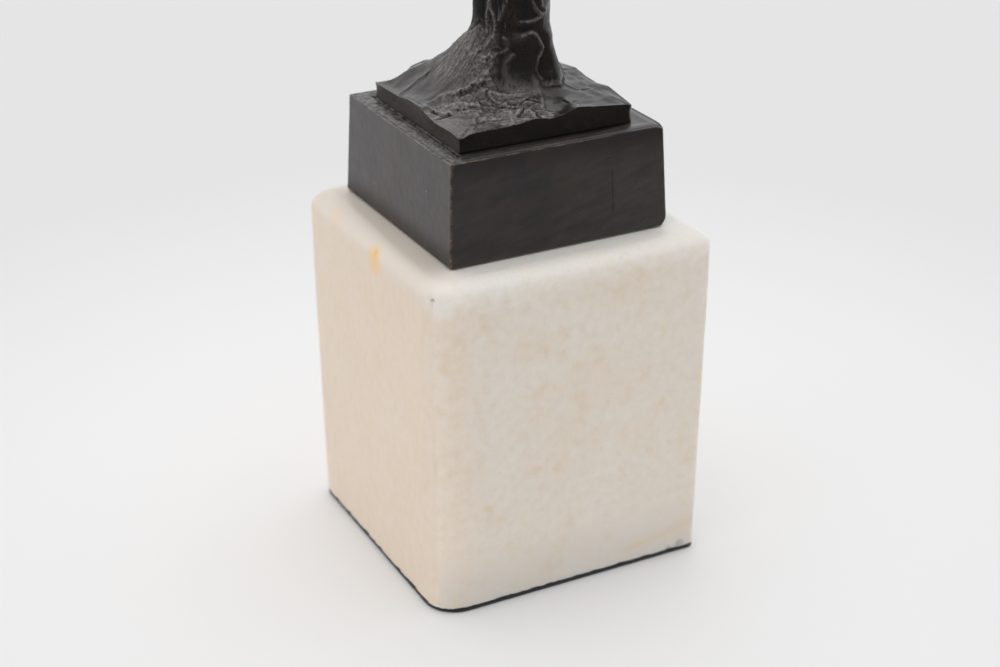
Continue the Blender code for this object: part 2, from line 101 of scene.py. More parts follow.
LUG_INNER, LUG_OUTER, LUG_HALF_WIDTH, LUG_HEIGHT, LUG_CORNERS = 21.4, 36.3, 8.0, 10.0, (0.5,) * 4
LUG_GAP = 0.3  # above the bridge bar
LUG_HOLE_REACH, LUG_HOLE_RADIUS, LUG_HOLE_DEPTH = 26.5, 2.8, 12.6
SCREW_REACH, SCREW_HOLE_RADIUS = 20.0, 2.3
SCREW_PLACES = [(sx * SCREW_REACH, sy * SCREW_REACH) for sx in (-1, 1) for sy in (-1, 1)]

GROUND_BOTTOM, TRUNK_TOP = GROUND_LOW[2], GROUND_HIGH[2]
TOP_RISE = TRUNK_TOP - BLOCK_TOP
TRUNK_CENTRE = np.array((4.05, 1.5))
TRUNK_BORE_RADIUS, TRUNK_BORE_TOP = 6.5, BLOCK_TOP + 30
SLAB_HALF = np.array((30.8, 30.35))
SLAB_ROUNDING = 2.4
GROUND_AROUND = 800  # points round each ring
VIEWER_ANGLE = math.radians(-117.2)  # the trunk's side that faces the viewer
CREST_ANGLE = math.radians(153)  # the long root's direction from the trunk
ROOT_RISE = 17.2
MM_PER_DEGREE = 0.19  # round the trunk

LIGHT_STRENGTH, LIGHT_FRONT = 1.10, 0.66
FLAG_TURN = math.radians(25)  # to the viewer's right
FLAG_HALF_SPAN, FLAG_REACH, FLAG_TOP = 75, 0.22, 0.30  # degrees, metres, metres
VIEW_AZIMUTH, VIEW_ELEVATION, VIEW_ROLL = (math.radians(degrees) for degrees in (-27.2, 25.44, -0.244))
VIEW_AIM, VIEW_DISTANCE = np.array((0.78, 4.36, 68.04)) * MM, 656.4 * MM
SENSOR_WIDTH, LENS, F_STOP = 36.0, 69.18, 9.0


# ---- noise on arrays of points ------------------------------------------------------------------
RANDOM = np.random.RandomState(11)
PERMUTATION = np.tile(RANDOM.permutation(256), 3)
GRADIENTS = RANDOM.normal(size=(256, 3))
GRADIENTS /= np.linalg.norm(GRADIENTS, axis=1)[:, None]


def hashed(cell):
    x, y, z = (cell[..., i] & 255 for i in range(3))
    return PERMUTATION[PERMUTATION[PERMUTATION[x] + y] + z]


def perlin(points):
    """Gradient noise, about -0.7 to 0.7, one feature per unit."""
    cell = np.floor(points).astype(int)
    inside = points - cell
    fade = inside**3 * (inside * (inside * 6 - 15) + 10)
    total = np.zeros(points.shape[:-1])
    for corner in np.ndindex(2, 2, 2):
        offset = inside - corner
        weight = np.prod(np.where(np.array(corner) == 1, fade, 1 - fade), axis=-1)
        total += weight * np.sum(GRADIENTS[hashed(cell + corner)] * offset, axis=-1)
    return total * 1.6


def fractal(points, octaves=4, gain=0.5):
    total, size = 0, 1.0
    for octave in range(octaves):
        total = total + size * perlin(points * 2.03**octave + 17.3 * octave)
        size *= gain
    return total


def ridged(points, octaves):
    """Noise with sharp crests, 0 to about 1."""
    total, size = 0, 0.5
    for octave in range(octaves):
        total = total + size * (1 - np.abs(perlin(points * 2.1**octave + 9.1 * octave)) * 1.6) ** 2
        size *= 0.5
    return total


def smooth(t):
    t = np.clip(t, 0, 1)
    return t * t * (3 - 2 * t)


def ramp(value, low, high):
    """0 where value is low, 1 where it is high, smooth between and level beyond. low may be above high."""
    return smooth((value - low) / (high - low))


def bump(distance, width):
    return np.exp(-((distance / width) ** 2))


def lump(x, y, centre, half):
    """1 at a centre, falling away with its own half width in x and in y."""
    return bump(np.hypot((x - centre[0]) / half[0], (y - centre[1]) / half[1]), 1.0)


# ---- meshes from rings --------------------------------------------------------------------------
def rounded_box(low, high, radii, corner_steps, side_steps):
    """Points round a rectangle with an arc of its own radius at each corner, counter-clockwise."""
    arcs = []
    for quarter, radius in enumerate(radii):
        x = high[0] - radius if quarter in (0, 3) else low[0] + radius
        y = high[1] - radius if quarter in (0, 1) else low[1] + radius
        angles = (quarter + np.arange(corner_steps + 1) / corner_steps) * math.pi / 2
        arcs.append((x, y) + radius * towards(angles))
    shares = np.arange(1, side_steps)[:, None] / side_steps
    pieces = []
    for arc, following in zip(arcs, arcs[1:] + arcs[:1]):
        pieces += [arc, arc[-1] + (following[0] - arc[-1]) * shares]
    return np.concatenate(pieces)


def with_height(outline, z):
    """A ring in space, at one height or at a height for each point."""
    return np.column_stack((outline, np.full(len(outline), z)))


def towards(angles):
    """Unit vectors in the plan."""
    return np.stack((np.cos(angles), np.sin(angles)), axis=-1)


def circle_like(outline, radius, centre=(0, 0)):
    """A circle whose points lie in the same directions from the centre as the outline's."""
    arms = outline - np.array(centre)
    return np.array(centre) + radius * arms / np.linalg.norm(arms, axis=1)[:, None]


def ring_normals(rings):
    """Outward normals of a stack of counter-clockwise rings that climbs the outside."""
    along = np.roll(rings, -1, axis=1) - np.roll(rings, 1, axis=1)
    upward = np.gradient(rings, axis=0)
    normal = np.cross(along, upward)
    return normal / np.maximum(np.linalg.norm(normal, axis=-1), 1e-9)[..., None]


def ring_faces(count, around, loop):
    """Quads between the rings of a stack, then a fan at each end unless the stack is a loop. The fans
    meet in two more points, numbered after those of the rings."""
    low = np.arange(count if loop else count - 1)[:, None] * around
    high = np.roll(np.arange(count), -1)[: len(low)][:, None] * around
    i = np.arange(around)[None, :]
    j = (i + 1) % around
    faces = np.stack((low + i, low + j, high + j, high + i), axis=-1).reshape(-1, 4).tolist()
    ends = () if loop else ((0, j, i), ((count - 1) * around, i, j))
    for end, (start, first, second) in enumerate(ends):
        centre = np.full(around, count * around + end)
        faces += np.column_stack((start + first[0], start + second[0], centre)).tolist()
    return faces


def ring_mesh(name, rings, material, loop=False, marks=None, sharp=60):
    """A closed mesh from a stack of rings. loop joins the last ring to the first; otherwise both
    ends are closed. marks are named values for each point, read by the materials."""
    count, around = rings.shape[:2]
    vertices = rings.reshape(-1, 3)
    if not loop:
        vertices = np.vstack((vertices, rings[0].mean(axis=0), rings[-1].mean(axis=0)))
    mesh = bpy.data.meshes.new(name)
    mesh.from_pydata((vertices * MM).tolist(), [], ring_faces(count, around, loop))
    for mark_name, values in (marks or {}).items():
        flat = np.zeros(len(vertices), np.float32)
        flat[: count * around] = values.reshape(-1)
        mesh.attributes.new(mark_name, "FLOAT", "POINT").data.foreach_set("value", flat)
    mesh.shade_smooth()
    mesh.set_sharp_from_angle(angle=math.radians(sharp))
    mesh.materials.append(material)
    return linked(name, mesh)


def linked(name, data):
    obj = bpy.data.objects.new(name, data)
    bpy.context.scene.collection.objects.link(obj)
    return obj


def stand_in(piece, body, cad_node):
    """Lets a finished piece ride on its body in place of a CAD node."""
    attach(piece, body)
    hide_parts(cad_node)


def turned_to_bronze(points):
    """From the bronze block's own axes to the CAD's frame."""
    cos, sin = math.cos(BRONZE_YAW), math.sin(BRONZE_YAW)
    x, y = points[..., 0], points[..., 1]
    turned = (BRONZE_CENTRE[0] + cos * x - sin * y, BRONZE_CENTRE[1] + sin * x + cos * y, points[..., 2])
    return np.stack(turned, axis=-1)


def combine(obj, outline, low, high, operation):
    """Cuts an upright prism out of the mesh, or joins one to it, in the bronze block's own axes."""
    rings = turned_to_bronze(np.stack([with_height(outline, z) for z in (low, high)]))
    prism = ring_mesh("prism", rings, obj.data.materials[0])
    modifier = obj.modifiers.new("prism", "BOOLEAN")
    modifier.operation = operation
    modifier.solver = "EXACT"
    modifier.object = prism
    apply_modifiers(obj)
    bpy.data.objects.remove(prism)


def apply_modifiers(obj):
    bpy.context.view_layer.update()
    evaluated = obj.evaluated_get(bpy.context.evaluated_depsgraph_get())
    mesh = bpy.data.meshes.new_from_object(evaluated)
    obj.modifiers.clear()
    obj.data = mesh


def cut_holes(obj, places, radius, low, high):
    circle = radius * towards(np.arange(24) / 24 * 2 * math.pi)
    for place in places:
        combine(obj, place + circle, low, high, "DIFFERENCE")


# ---- values worked out by shader nodes ----------------------------------------------------------
class Value:
    """The output of a shader node. Values take part in ordinary arithmetic."""

    def __init__(self, tree, socket):
        self.tree = tree
        self.socket = socket

    def to(self, operation, other=0.0, clamp=False):
        settings = {"operation": operation, "use_clamp": clamp}
        return node(self.tree, "ShaderNodeMath", {0: self, 1: other}, **settings)

    def __add__(self, other):
        return self.to("ADD", other)

    def __sub__(self, other):
        return self.to("SUBTRACT", other)

    def __rsub__(self, other):
        return node(self.tree, "ShaderNodeMath", {0: other, 1: self}, operation="SUBTRACT")

    def __mul__(self, other):
        return self.to("MULTIPLY", other)

    def __truediv__(self, other):
        return self.to("DIVIDE", other)

    def __abs__(self):
        return self.to("ABSOLUTE")


def feed(tree, socket, value):
    """Links a value to a socket, or sets the socket to a plain number, vector or colour."""
    if isinstance(value, Value):
        tree.links.new(value.socket, socket)
    else:
        socket.default_value = (*value, 1.0) if socket.type == "RGBA" else value


def node(tree, kind, inputs, output=0, **settings):
    made = tree.nodes.new(kind)
    for key, value in settings.items():
        setattr(made, key, value)
    for key, value in inputs.items():
        feed(tree, made.inputs[key], value)
    return Value(tree, made.outputs[output])


def position_mm(tree, stretch=(1, 1, 1)):
    """Object coordinates in millimetres, stretched by axis."""
    coordinates = node(tree, "ShaderNodeTexCoord", {}, "Object")
    scale = tuple(1 / MM * s for s in stretch)
    return node(tree, "ShaderNodeVectorMath", {0: coordinates, 1: scale}, operation="MULTIPLY")


def new_material(name):
    material = bpy.data.materials.new(name)
    material.use_nodes = True
    return material, position_mm(material.node_tree)


def finish_material(material, **sockets):
    """Feeds the shader's inputs, whose names have _ here where Blender has a space."""
    tree = material.node_tree
    for key, value in sockets.items():
        feed(tree, tree.nodes["Principled BSDF"].inputs[key.replace("_", " ")], value)
    return material


def bump_normal(height, depth_mm):
    inputs = {"Height": height, "Distance": depth_mm * MM, "Strength": 1.0}
    return node(height.tree, "ShaderNodeBump", inputs)


def axes(position):
    return [node(position.tree, "ShaderNodeSeparateXYZ", {0: position}, axis) for axis in range(3)]


def noise(position, size, detail=3.0, roughness=0.5, distortion=0.0):
    """Noise whose blobs are about size millimetres."""
    inputs = {"Vector": position, "Scale": 1 / size, "Detail": detail}
    inputs |= {"Roughness": roughness, "Distortion": distortion}
    return node(position.tree, "ShaderNodeTexNoise", inputs, "Fac")


def mask(value, low, high):
    """0 where value is low, 1 where it is high, smooth between and level beyond. low may be above high."""
    inputs = {"Value": value, "From Min": low, "From Max": high}
    return node(value.tree, "ShaderNodeMapRange", inputs, interpolation_type="SMOOTHSTEP")


def spread(value, low, high):
    """Maps noise, which keeps near 0.5, on to the range low to high."""
    inputs = {"Value": value, "From Min": 0.25, "From Max": 0.75, "To Min": low, "To Max": high}
    return node(value.tree, "ShaderNodeMapRange", inputs)


def mix_colour(share, first, second):
    return node(share.tree, "ShaderNodeMix", {0: share, 6: first, 7: second}, 2, data_type="RGBA")


def near(position, centre, low, high):
    """1 within low millimetres of a point and 0 beyond high."""
    inputs = {0: position, 1: centre}
    distance = node(position.tree, "ShaderNodeVectorMath", inputs, "Value", operation="DISTANCE")
    return 1.0 - mask(distance, low, high)


# ---- materials ----------------------------------------------------------------------------------
# Spots on the stone: (centre, radius, strength, colour)
STONE_SPOTS = (
    ((-50.6, -9, 110.4), 7, 1, (0.84, 0.6, 0.34)),
    ((-50, -9.5, 113), 2, 0.8, (0.86, 0.5, 0.16)),
    ((-49, 24, 113), 6, 0.35, (0.82, 0.62, 0.4)),
    ((-46, -50, 108.5), 4.5, 0.3, (0.9, 0.9, 0.88)),
    # A dark spot in the pit: painted shade.
    ((-48.6, -47.7, 111.7), 0.9, 1, (0.16, 0.12, 0.09)),
    ((41, -50.6, 3), 2.4, 0.5, (0.25, 0.21, 0.19)),
    ((36.5, -50.6, 2.2), 1.6, 0.45, (0.25, 0.21, 0.19)),
    ((4, -51, 72), 15, 0.18, (0.78, 0.63, 0.45)),
    ((-4, -51, 58), 9, 0.18, (0.78, 0.63, 0.45)),
    ((24, -51, 50), 13, 0.15, (0.78, 0.63, 0.45)),
    ((-18, -51, 90), 10, 0.18, (0.78, 0.63, 0.45)),
)
# The vein's soft band and its core: (half width, strength, colour)
STONE_VEIN = ((4.6, 0.42, (0.79, 0.65, 0.48)), (2.2, 0.16, (0.62, 0.44, 0.28)))
VEIN_START, VEIN_SLOPE, VEIN_BEND = (17.5, 6.2), 0.105, 0.0026  # it climbs to the right from (x, z)


def stone_faces(position, across):
    """1 on the front and 0 on the left face, and the stone's ground colour: pinker on the left, paler
    on the front, warmest at the corner between them. The front's paler colour is partly painted light
    for the dimmer light on the viewer's side; the pale warm band along the rounded corner is a painted
    highlight and glow."""
    past_corner = (axes(position)[0] + 40).to("MAXIMUM", 0.0)
    front = mask(across / (past_corner * 0.2 + 1.0), -0.9, 0.9)
    clouds = spread(noise(position, 22, 3, 0.5, 0.3), 0, 1)
    left_colour = mix_colour(clouds, (0.765, 0.630, 0.500), (0.785, 0.665, 0.545))
    # Paler on the front partly as painted light, making up for the dimmer light on the viewer's side.
    front_colour = mix_colour(clouds, (0.80, 0.715, 0.61), (0.81, 0.755, 0.68))
    # Paler and warmer near the corner: painted glow.
    front_colour = mix_colour(mask(across, 15, 2), front_colour, (0.85, 0.735, 0.61))
    colour = mix_colour(front, left_colour, front_colour)
    # A pale warm band along the rounded corner: painted highlight.
    return front, mix_colour(mask(abs(across), 7.0, 0.0) * 0.55, colour, (0.86, 0.775, 0.675))


def stone_mottle(position, colour, front, mottle, grain):
    """Fine upright streaks, whitish and greyish crystals, and ochre clouds."""
    streaks = noise(position_mm(position.tree, (1, 1, 0.12)), 2.2, 3, 0.5)
    streaked = mask(streaks, 0.45, 0.72) * spread(front, 0.12, -0.12)
    whitish = mask(mottle, 0.42, 0.72) * spread(grain, 0.2, 0.6) * spread(front, 0.35, 0.8)
    greyish = mask(mottle, 0.50, 0.28) * spread(grain, 0.05, 0.36) * spread(front, 0.65, 0.9)
    ochre = mask(noise(position, 6.0, 3, 0.5), 0.50, 0.85) * spread(grain, 0.3, 0.9)
    for share, tint in (
        (streaked, (0.72, 0.54, 0.41)),
        (whitish, (0.86, 0.845, 0.81)),
        (greyish, (0.62, 0.57, 0.50)),
        (ochre, (0.76, 0.61, 0.43)),
    ):
        colour = mix_colour(share, colour, tint)
    return colour


def stone_ends(position, colour, front, across, mottle, grain):
    """A greyer foot on the front, and a ragged pale zone round the top that dips at the corner; the pale
    top, whitest on the front, is painted light.
    """
    z = axes(position)[2]
    foot = mask(z, 26, 3) * spread(mottle, 0.15, 0.75)
    colour = mix_colour(foot * front, colour, (0.62, 0.60, 0.57))
    dip = near(position, (-47.0, -49.5, 112.0), 0.0, 11.0) * 4.0
    # Painted light: a paler top, whitest towards the front.
    top = mask(z + dip + (mottle - 0.5) * 5.0, STONE_HIGH[2] - 11.0, STONE_HIGH[2] - 1.0)
    painted_light_top_colour = mix_colour(mask(across, -8, 6), (0.745, 0.70, 0.64), (0.93, 0.905, 0.86))
    return mix_colour(top * spread(grain, 0.5, 0.9), colour, painted_light_top_colour)


def stone_vein(position, colour, mottle, grain):
    """A faint vein that climbs to the right along the foot of the front face."""
    x, y, z = axes(position)
    run = x - VEIN_START[0]
    rise = run * VEIN_SLOPE + run * run * VEIN_BEND
    above = z - VEIN_START[1] - (rise + (mottle - 0.5) * 2.4)
    here = mask(run, -2, 6) * mask(y, -47, -49.5)
    for width, share, tint in STONE_VEIN:
        line = mask(abs(above), width, width * 0.15) * here * share
        colour = mix_colour(line * spread(grain, 0.3, 1.3), colour, tint)
    return colour


def stone_material():
    """Translucent ivory stone: soft clouds, a faint crystal mottle, ochre spots, a stain, a vein."""
    material, position = new_material("ivory_stone")
    x, y, _ = axes(position)
    mottle = noise(position, 3.4, 5, 0.6, 0.15)
    grain = noise(position, 1.3, 3, 0.6)
    across = (x + ARRIS_INSET[0]) * ARRIS_SINE - (y + ARRIS_INSET[1]) * ARRIS_COSINE
    front, colour = stone_faces(position, across)
    colour = stone_mottle(position, colour, front, mottle, grain)
    colour = stone_ends(position, colour, front, across, mottle, grain)
    for centre, reach, share, tint in STONE_SPOTS:
        ragged = near(position, centre, reach * 0.3, reach) * spread(mottle, 0.5, 1.3)
        colour = mix_colour(ragged.to("MULTIPLY", share, clamp=True), colour, tint)
    colour = stone_vein(position, colour, mottle, grain)
    glow = {"Subsurface_Weight": 0.6, "Subsurface_Radius": (1.0, 0.75, 0.58), "Subsurface_Scale": 2.6 * MM}
    relief = bump_normal(grain, 0.05)
    return finish_material(material, Base_Color=colour, Roughness=0.42, IOR=1.5, Normal=relief, **glow)


def felt_material():
    material, position = new_material("black_felt")
    fibres = noise(position_mm(position.tree, (1, 0.35, 1)), 0.35, 4, 0.7, 2.0)
    tufts = noise(position, 2.5, 3)
    colour = mix_colour(spread(fibres, 0, 1), (0.006, 0.006, 0.007), (0.022, 0.022, 0.024))
    relief = bump_normal(fibres + tufts * 0.5, 0.25)
    sheen = {"Sheen_Weight": 0.25, "Sheen_Roughness": 0.5}
    return finish_material(material, Base_Color=colour, Roughness=0.95, Normal=relief, **sheen)


def bronze_material(name, rough, dark, warm):
    """Dark waxed patina over bronze. Marks on the mesh say where it is rubbed to bare metal, paler
    (a pale deposit, and painted highlights), browner, or darker (dark joints and dirt, and painted shade)."""
    material, position = new_material(name)
    tree = position.tree
    patches = noise(position, 14, 4, 0.6, 0.5)
    fine = noise(position, 0.5, 3, 0.6)
    brush = noise(position_mm(tree, (0.25, 0.25, 1.6)), 1.2, 3, 0.5)
    wear, pale, brown, grime_and_shade = (
        node(tree, "ShaderNodeAttribute", {}, "Fac", attribute_name=mark)
        for mark in ("wear", "pale", "brown", "grime_and_shade")
    )
    dust_and_highlight = pale.to("MULTIPLY", spread(fine, 0.5, 1.1), clamp=True)
    rubbed = wear.to("MULTIPLY", mask(fine, 0.35, 0.6), clamp=True)
    colour = mix_colour(mask(patches, 0.30, 0.85), dark, warm)
    colour = mix_colour(brown, colour, (0.030, 0.017, 0.009))
    # Near black: dark joints and dirt, and painted shade in sunken places, undercuts and low on the block.
    colour = mix_colour(grime_and_shade, colour, (0.004, 0.0032, 0.0028))
    # Pale: a deposit in places, and painted highlights and sheen elsewhere.
    colour = mix_colour(dust_and_highlight, colour, (0.34, 0.314, 0.302))
    colour = mix_colour(rubbed, colour, (0.40, 0.27, 0.14))
    roughness = spread(patches, rough - 0.04, rough + 0.05) + grime_and_shade.to("MAXIMUM", dust_and_highlight) * 0.25
    shine = {"Metallic": rubbed, "Specular_IOR_Level": 0.5 - grime_and_shade * 0.40}
    relief = bump_normal(fine * 0.6 + brush * 0.4, 0.03)
    return finish_material(material, Base_Color=colour, Roughness=roughness, IOR=1.5, Normal=relief, **shine)


def speckled_material(name, speckles, dark, light, depth_mm, rough, metallic):
    """Speckles (size, detail and roughness of noise) between two colours, slightly in relief."""
    material, position = new_material(name)
    speckle = noise(position, *speckles)
    colour = mix_colour(spread(speckle, 0, 1), dark, light)
    relief = bump_normal(speckle, depth_mm)
    shine = {"Roughness": spread(speckle, *rough), "Metallic": metallic}
    return finish_material(material, Base_Color=colour, Normal=relief, **shine)


# ---- felt and stone -----------------------------------------------------------------------------
def build_felt(material):
    """A thin pad with a soft, slightly fuzzy cut edge."""
    thickness = FELT_HIGH[2] - FELT_LOW[2]
    rings = []
    for inset, share in FELT_EDGE:
        radii = [radius - inset for radius in FELT_CORNERS]
        outline = rounded_box(FELT_LOW[:2] + inset, FELT_HIGH[:2] - inset, radii, *FELT_STEPS)
        rings.append(with_height(outline, FELT_LOW[2] + thickness * share))
    rings = np.array(rings)
    fuzz = fractal(rings * (0.9, 0.9, 0.6), 3) * FELT_FUZZ
    rings[1:-1, :, :2] += (ring_normals(rings) * fuzz[..., None])[1:-1, :, :2]
    felt = ring_mesh("felt_pad_soft", rings, material)
    stand_in(felt, "stone_base", "felt_pad")


def stone_corners_at(z):
    """Lowest and highest corners of the stone's plan at a height: its faces lean out and bulge."""
    share = (z - STONE_LOW[2]) / (STONE_HIGH[2] - STONE_LOW[2])
    foot_low, foot_high = FELT_LOW[:2] - FELT_INSET, FELT_HIGH[:2] + FELT_INSET
    bulge = np.minimum(1, share / STONE_FULL_WIDTH_AT)
    return foot_low + (STONE_LOW[:2] - foot_low) * share, foot_high + (STONE_HIGH[:2] - foot_high) * bulge


def widening(outline):
    """How much of the left side's extra rounding a point gets: all of it at the back left."""
    to_back = ramp(outline[:, 1], STONE_LOW[1], STONE_HIGH[1])
    return to_back * ramp(outline[:, 0], STONE_LOW[0] + 16, STONE_LOW[0])


def stone_top_outline(low, high, share):
    """The outline drawn in by a share of the top rounding, whose radius differs along the sides."""
    inset = np.array((STONE_TOP_SIDES, STONE_TOP_FRONT)) * share
    radii = [max(radius - 0.6 * STONE_TOP_FRONT * share, 0.6) for radius in STONE_CORNERS]
    outline = rounded_box(low + inset, high - inset, radii, *STONE_STEPS)
    outline[:, 0] += STONE_TOP_WIDENING * share * widening(outline)
    return outline


def stone_rings():
    """The stone's outside up to the inner edge of its top rounding, with closer rings at its foot."""
    low, high = STONE_LOW[2], STONE_HIGH[2]
    rings = []
    for z in np.concatenate((np.linspace(low, low + 4, 17), np.linspace(low + 5.3, high - 8, 74))):
        rings.append(with_height(rounded_box(*stone_corners_at(z), STONE_CORNERS, *STONE_STEPS), z))
    corners_at_top = stone_corners_at(high)
    wall = stone_top_outline(*corners_at_top, 0)
    drop = STONE_TOP_DROP + STONE_TOP_DEEPENING * widening(wall)
    start = rings[-1]
    for share in np.arange(1, 10) / 10:
        rings.append(start + (with_height(wall, high - drop) - start) * share)
    for angle in np.linspace(0, math.pi / 2, 24):
        outline = stone_top_outline(*corners_at_top, 1 - math.cos(angle))
        rings.append(with_height(outline, high - drop * (1 - math.sin(angle))))
    return np.array(rings)


def round_front_corner(points):
    """Millimetres round the big front corner from its arris, and a far value off the corner."""
    arm = points[..., :2] - (STONE_LOW[:2] + STONE_CORNERS[2])
    along = (np.arctan2(-arm[..., 1], -arm[..., 0]) - STONE_ARRIS) * STONE_CORNERS[2]
    return np.where((arm < 0).all(axis=-1), along, 9.0)


def stone_pit(points):
    """Depth of the one slanting pit high on the front corner."""
    arm = points - STONE_PIT
    return PIT_DEPTH * bump(arm @ PIT_ALONG, 1.3) * bump(arm @ PIT_ACROSS, 0.5)


def stone_relief(rings):
    """A soft arris on the front corner, a slight wobble, a chipped foot, a nicked corner and the pit."""
    z = rings[..., 2]
    arris = round_front_corner(rings)
    ridge = 0.16 * np.exp(-np.abs(arris) / 1.6) * ramp(z, STONE_HIGH[2] - 2.5, STONE_HIGH[2] - 6.5)
    wobble = fractal(rings / 26, 3) * 0.15 + fractal(rings / 5, 2) * 0.02
    chips = 0.35 * smooth((fractal(rings / 3.1, 3) + 0.05) * 2) * ramp(z, STONE_LOW[2] + 1.2, STONE_LOW[2])
    nicks = 0.25 * smooth((fractal(rings / 1.5 + 50, 3) - 0.2) * 5) * bump(arris, 0.9)
    return ridge + wobble - chips - nicks - stone_pit(rings)


def build_stone(material):
    low, high = STONE_LOW[2], STONE_HIGH[2]
    rings = stone_rings()
    rings = rings + ring_normals(rings) * stone_relief(rings)[..., None]
    rings[0, :, 2] = low
    inner = rings[-1, :, :2]
    extra = [with_height(inner * share, high) for share in (0.97, 0.93, 0.88, 0.8, 0.7, 0.55, 0.4, 0.25)]
    for bore, z in (
        (STUD_HOLE_RADIUS, high),
        (STUD_HOLE_RADIUS, low + COUNTERBORE_DEPTH),
        (COUNTERBORE_RADIUS, low + COUNTERBORE_DEPTH),
        (COUNTERBORE_RADIUS, low),
    ):
        extra.append(with_height(circle_like(inner, bore), z))
    rings = np.concatenate((rings, np.array(extra)))
    rings[:, :, 2] = np.clip(rings[:, :, 2], low, high)
    stone = ring_mesh("stone_block_honed", rings, material, loop=True)
    stand_in(stone, "stone_base", "stone_block")


# ---- bronze block -------------------------------------------------------------------------------
# The block's lower edge, rounded over: (how far in, height)
BLOCK_FOOT_EDGE = ((0.9, 0.0), (0.5, 0.05), (0.2, 0.25), (0.05, 0.6))
# Distances in from the upper edge, close together over the arris and the groove beside it
LEDGE_INSETS = (0.0, 0.1, 0.22, 0.36, 0.52, 0.7, 0.9, 1.1, 1.35, *np.arange(1.7, 8.2, 0.35), 9.0)

# Each point of the block: its share of the height, its distance in from the left and front faces, and
# how near the hairline seam it is. outside and top are slices of rings.
Place = namedtuple("Place", "up left front seam outside top")


def block_outline(plan, inset, radii):
    low, high = plan
    return rounded_box(low + inset, high - inset, radii, *BLOCK_STEPS)


def ledge_profile(inward, x, y):
    """Height of the block's top relative to BLOCK_TOP, at a distance in from its edge."""
    front = ramp(y, BLOCK_HEAD[0, 1] + 12, BLOCK_HEAD[0, 1] + 6)
    left = ramp(x, BLOCK_HEAD[0, 0] + 12, BLOCK_HEAD[0, 0] + 6)
    place = np.stack((x, y, x * 0), -1)
    arris = -0.30 * bump(inward, 0.16)
    groove = -0.30 * bump(inward - 1.0, 0.35) * (0.7 + fractal(place / 3.0, 2) * left)
    crown = 0.22 * bump(inward - 3.2, 1.5)
    channel = -1.2 * front * bump(inward - 6.6, 1.1) * ramp(x, CHANNEL_END, CHANNEL_FULL)
    crevice = -0.9 * left * bump(inward - 6.4, 0.6)
    rough = left * (fractal(place / 2.6, 3) * 0.30 + fractal(place / 0.9 + 9, 2) * 0.07)
    return arris + groove + crown + channel + crevice + rough * ramp(inward, 0.2, 1.0)


def block_rings():
    """The block's rings in its own axes, and the indices of the first outside and first top ring."""
    at_plate = BLOCK_FOOT + BLOCK_TAPER * (1 - BLOCK_PLATE / BLOCK_HEIGHT)
    rings = [
        with_height(block_outline(plan, inset, BLOCK_INNER_CORNERS), z)
        for plan, inset, z in (
            (at_plate, BLOCK_WALL + 16, BLOCK_TOP - BLOCK_PLATE),
            (at_plate, BLOCK_WALL, BLOCK_TOP - BLOCK_PLATE),
            (BLOCK_FOOT, BLOCK_WALL, BLOCK_BOTTOM),
        )
    ]
    first_outside = len(rings)
    for inset, rise in BLOCK_FOOT_EDGE:
        radii = [radius - 0.3 * inset for radius in BLOCK_CORNERS]
        rings.append(with_height(block_outline(BLOCK_FOOT, inset, radii), BLOCK_BOTTOM + rise))
    for share in np.linspace(0.035, 0.985, 72):
        plan = BLOCK_FOOT + BLOCK_TAPER * share**BLOCK_TAPER_POWER
        rings.append(with_height(block_outline(plan, 0, BLOCK_CORNERS), BLOCK_BOTTOM + BLOCK_HEIGHT * share))
    first_top = len(rings)
    for inset in LEDGE_INSETS:
        outline = block_outline(BLOCK_HEAD, inset, [max(radius - inset, 0.08) for radius in BLOCK_CORNERS])
        rings.append(with_height(outline, BLOCK_TOP + ledge_profile(inset, *outline.T)))
    rings.append(with_height(block_outline(BLOCK_HEAD, 24.0, (0.05,) * 4), BLOCK_TOP))
    return np.array(rings), first_outside, first_top


def wear_down(rings, first_outside, outside):
    """Lowers the top's right front corner, and draws in the foot at the right."""
    to_corner = np.linalg.norm(rings[..., :2] - (BLOCK_HEAD[1, 0], BLOCK_HEAD[0, 1]), axis=-1)
    upper = ramp(rings[first_outside:, :, 2], BLOCK_TOP - 5, BLOCK_TOP)
    rings[first_outside:, :, 2] -= 1.0 * bump(to_corner[first_outside:], 2.2) * upper
    worn_foot = 1.7 * bump(rings[..., 2] - BLOCK_BOTTOM, 1.5) * ramp(rings[..., 0], 30, 38)
    rings[outside, :, 0] -= worn_foot[outside]


def block_shape():
    """The block's finished rings, and the place of each of their points."""
    rings, first_outside, first_top = block_rings()
    outside, top = slice(first_outside, first_top), slice(first_top, None)
    wear_down(rings, first_outside, outside)
    x, y = rings[..., 0], rings[..., 1]
    up = (rings[..., 2] - BLOCK_BOTTOM) / BLOCK_HEIGHT
    corner = BLOCK_FOOT[0] + BLOCK_TAPER[0] * up[..., None]
    left, front = x - corner[..., 0], y - corner[..., 1]
    seam = bump(x - SEAM_X, 0.34) * smooth((up - SEAM_FOOT) * 12) * smooth((SEAM_HEAD - up) * 12)
    level_seam = bump((up - 0.76) * BLOCK_HEIGHT, 0.18) * ramp(x, -6, 0) * ramp(x, 18.6, 15.6)
    seams = np.where(front < 1.0, 0.10 * seam + 0.05 * level_seam, 0)
    relief = fractal(rings / 19, 3) * 0.10 + fractal(rings * 0.4, 2) * 0.03 - seams
    walls = slice(first_outside + 3, first_top + 1)
    rings[walls] += ring_normals(rings)[walls] * relief[walls][..., None]
    return rings, Place(up, left, front, seam, outside, top)


def only(part, values):
    """The values on one slice of the rings, and 0 elsewhere."""
    kept = np.zeros(values.shape)
    kept[part] = values[part]
    return kept


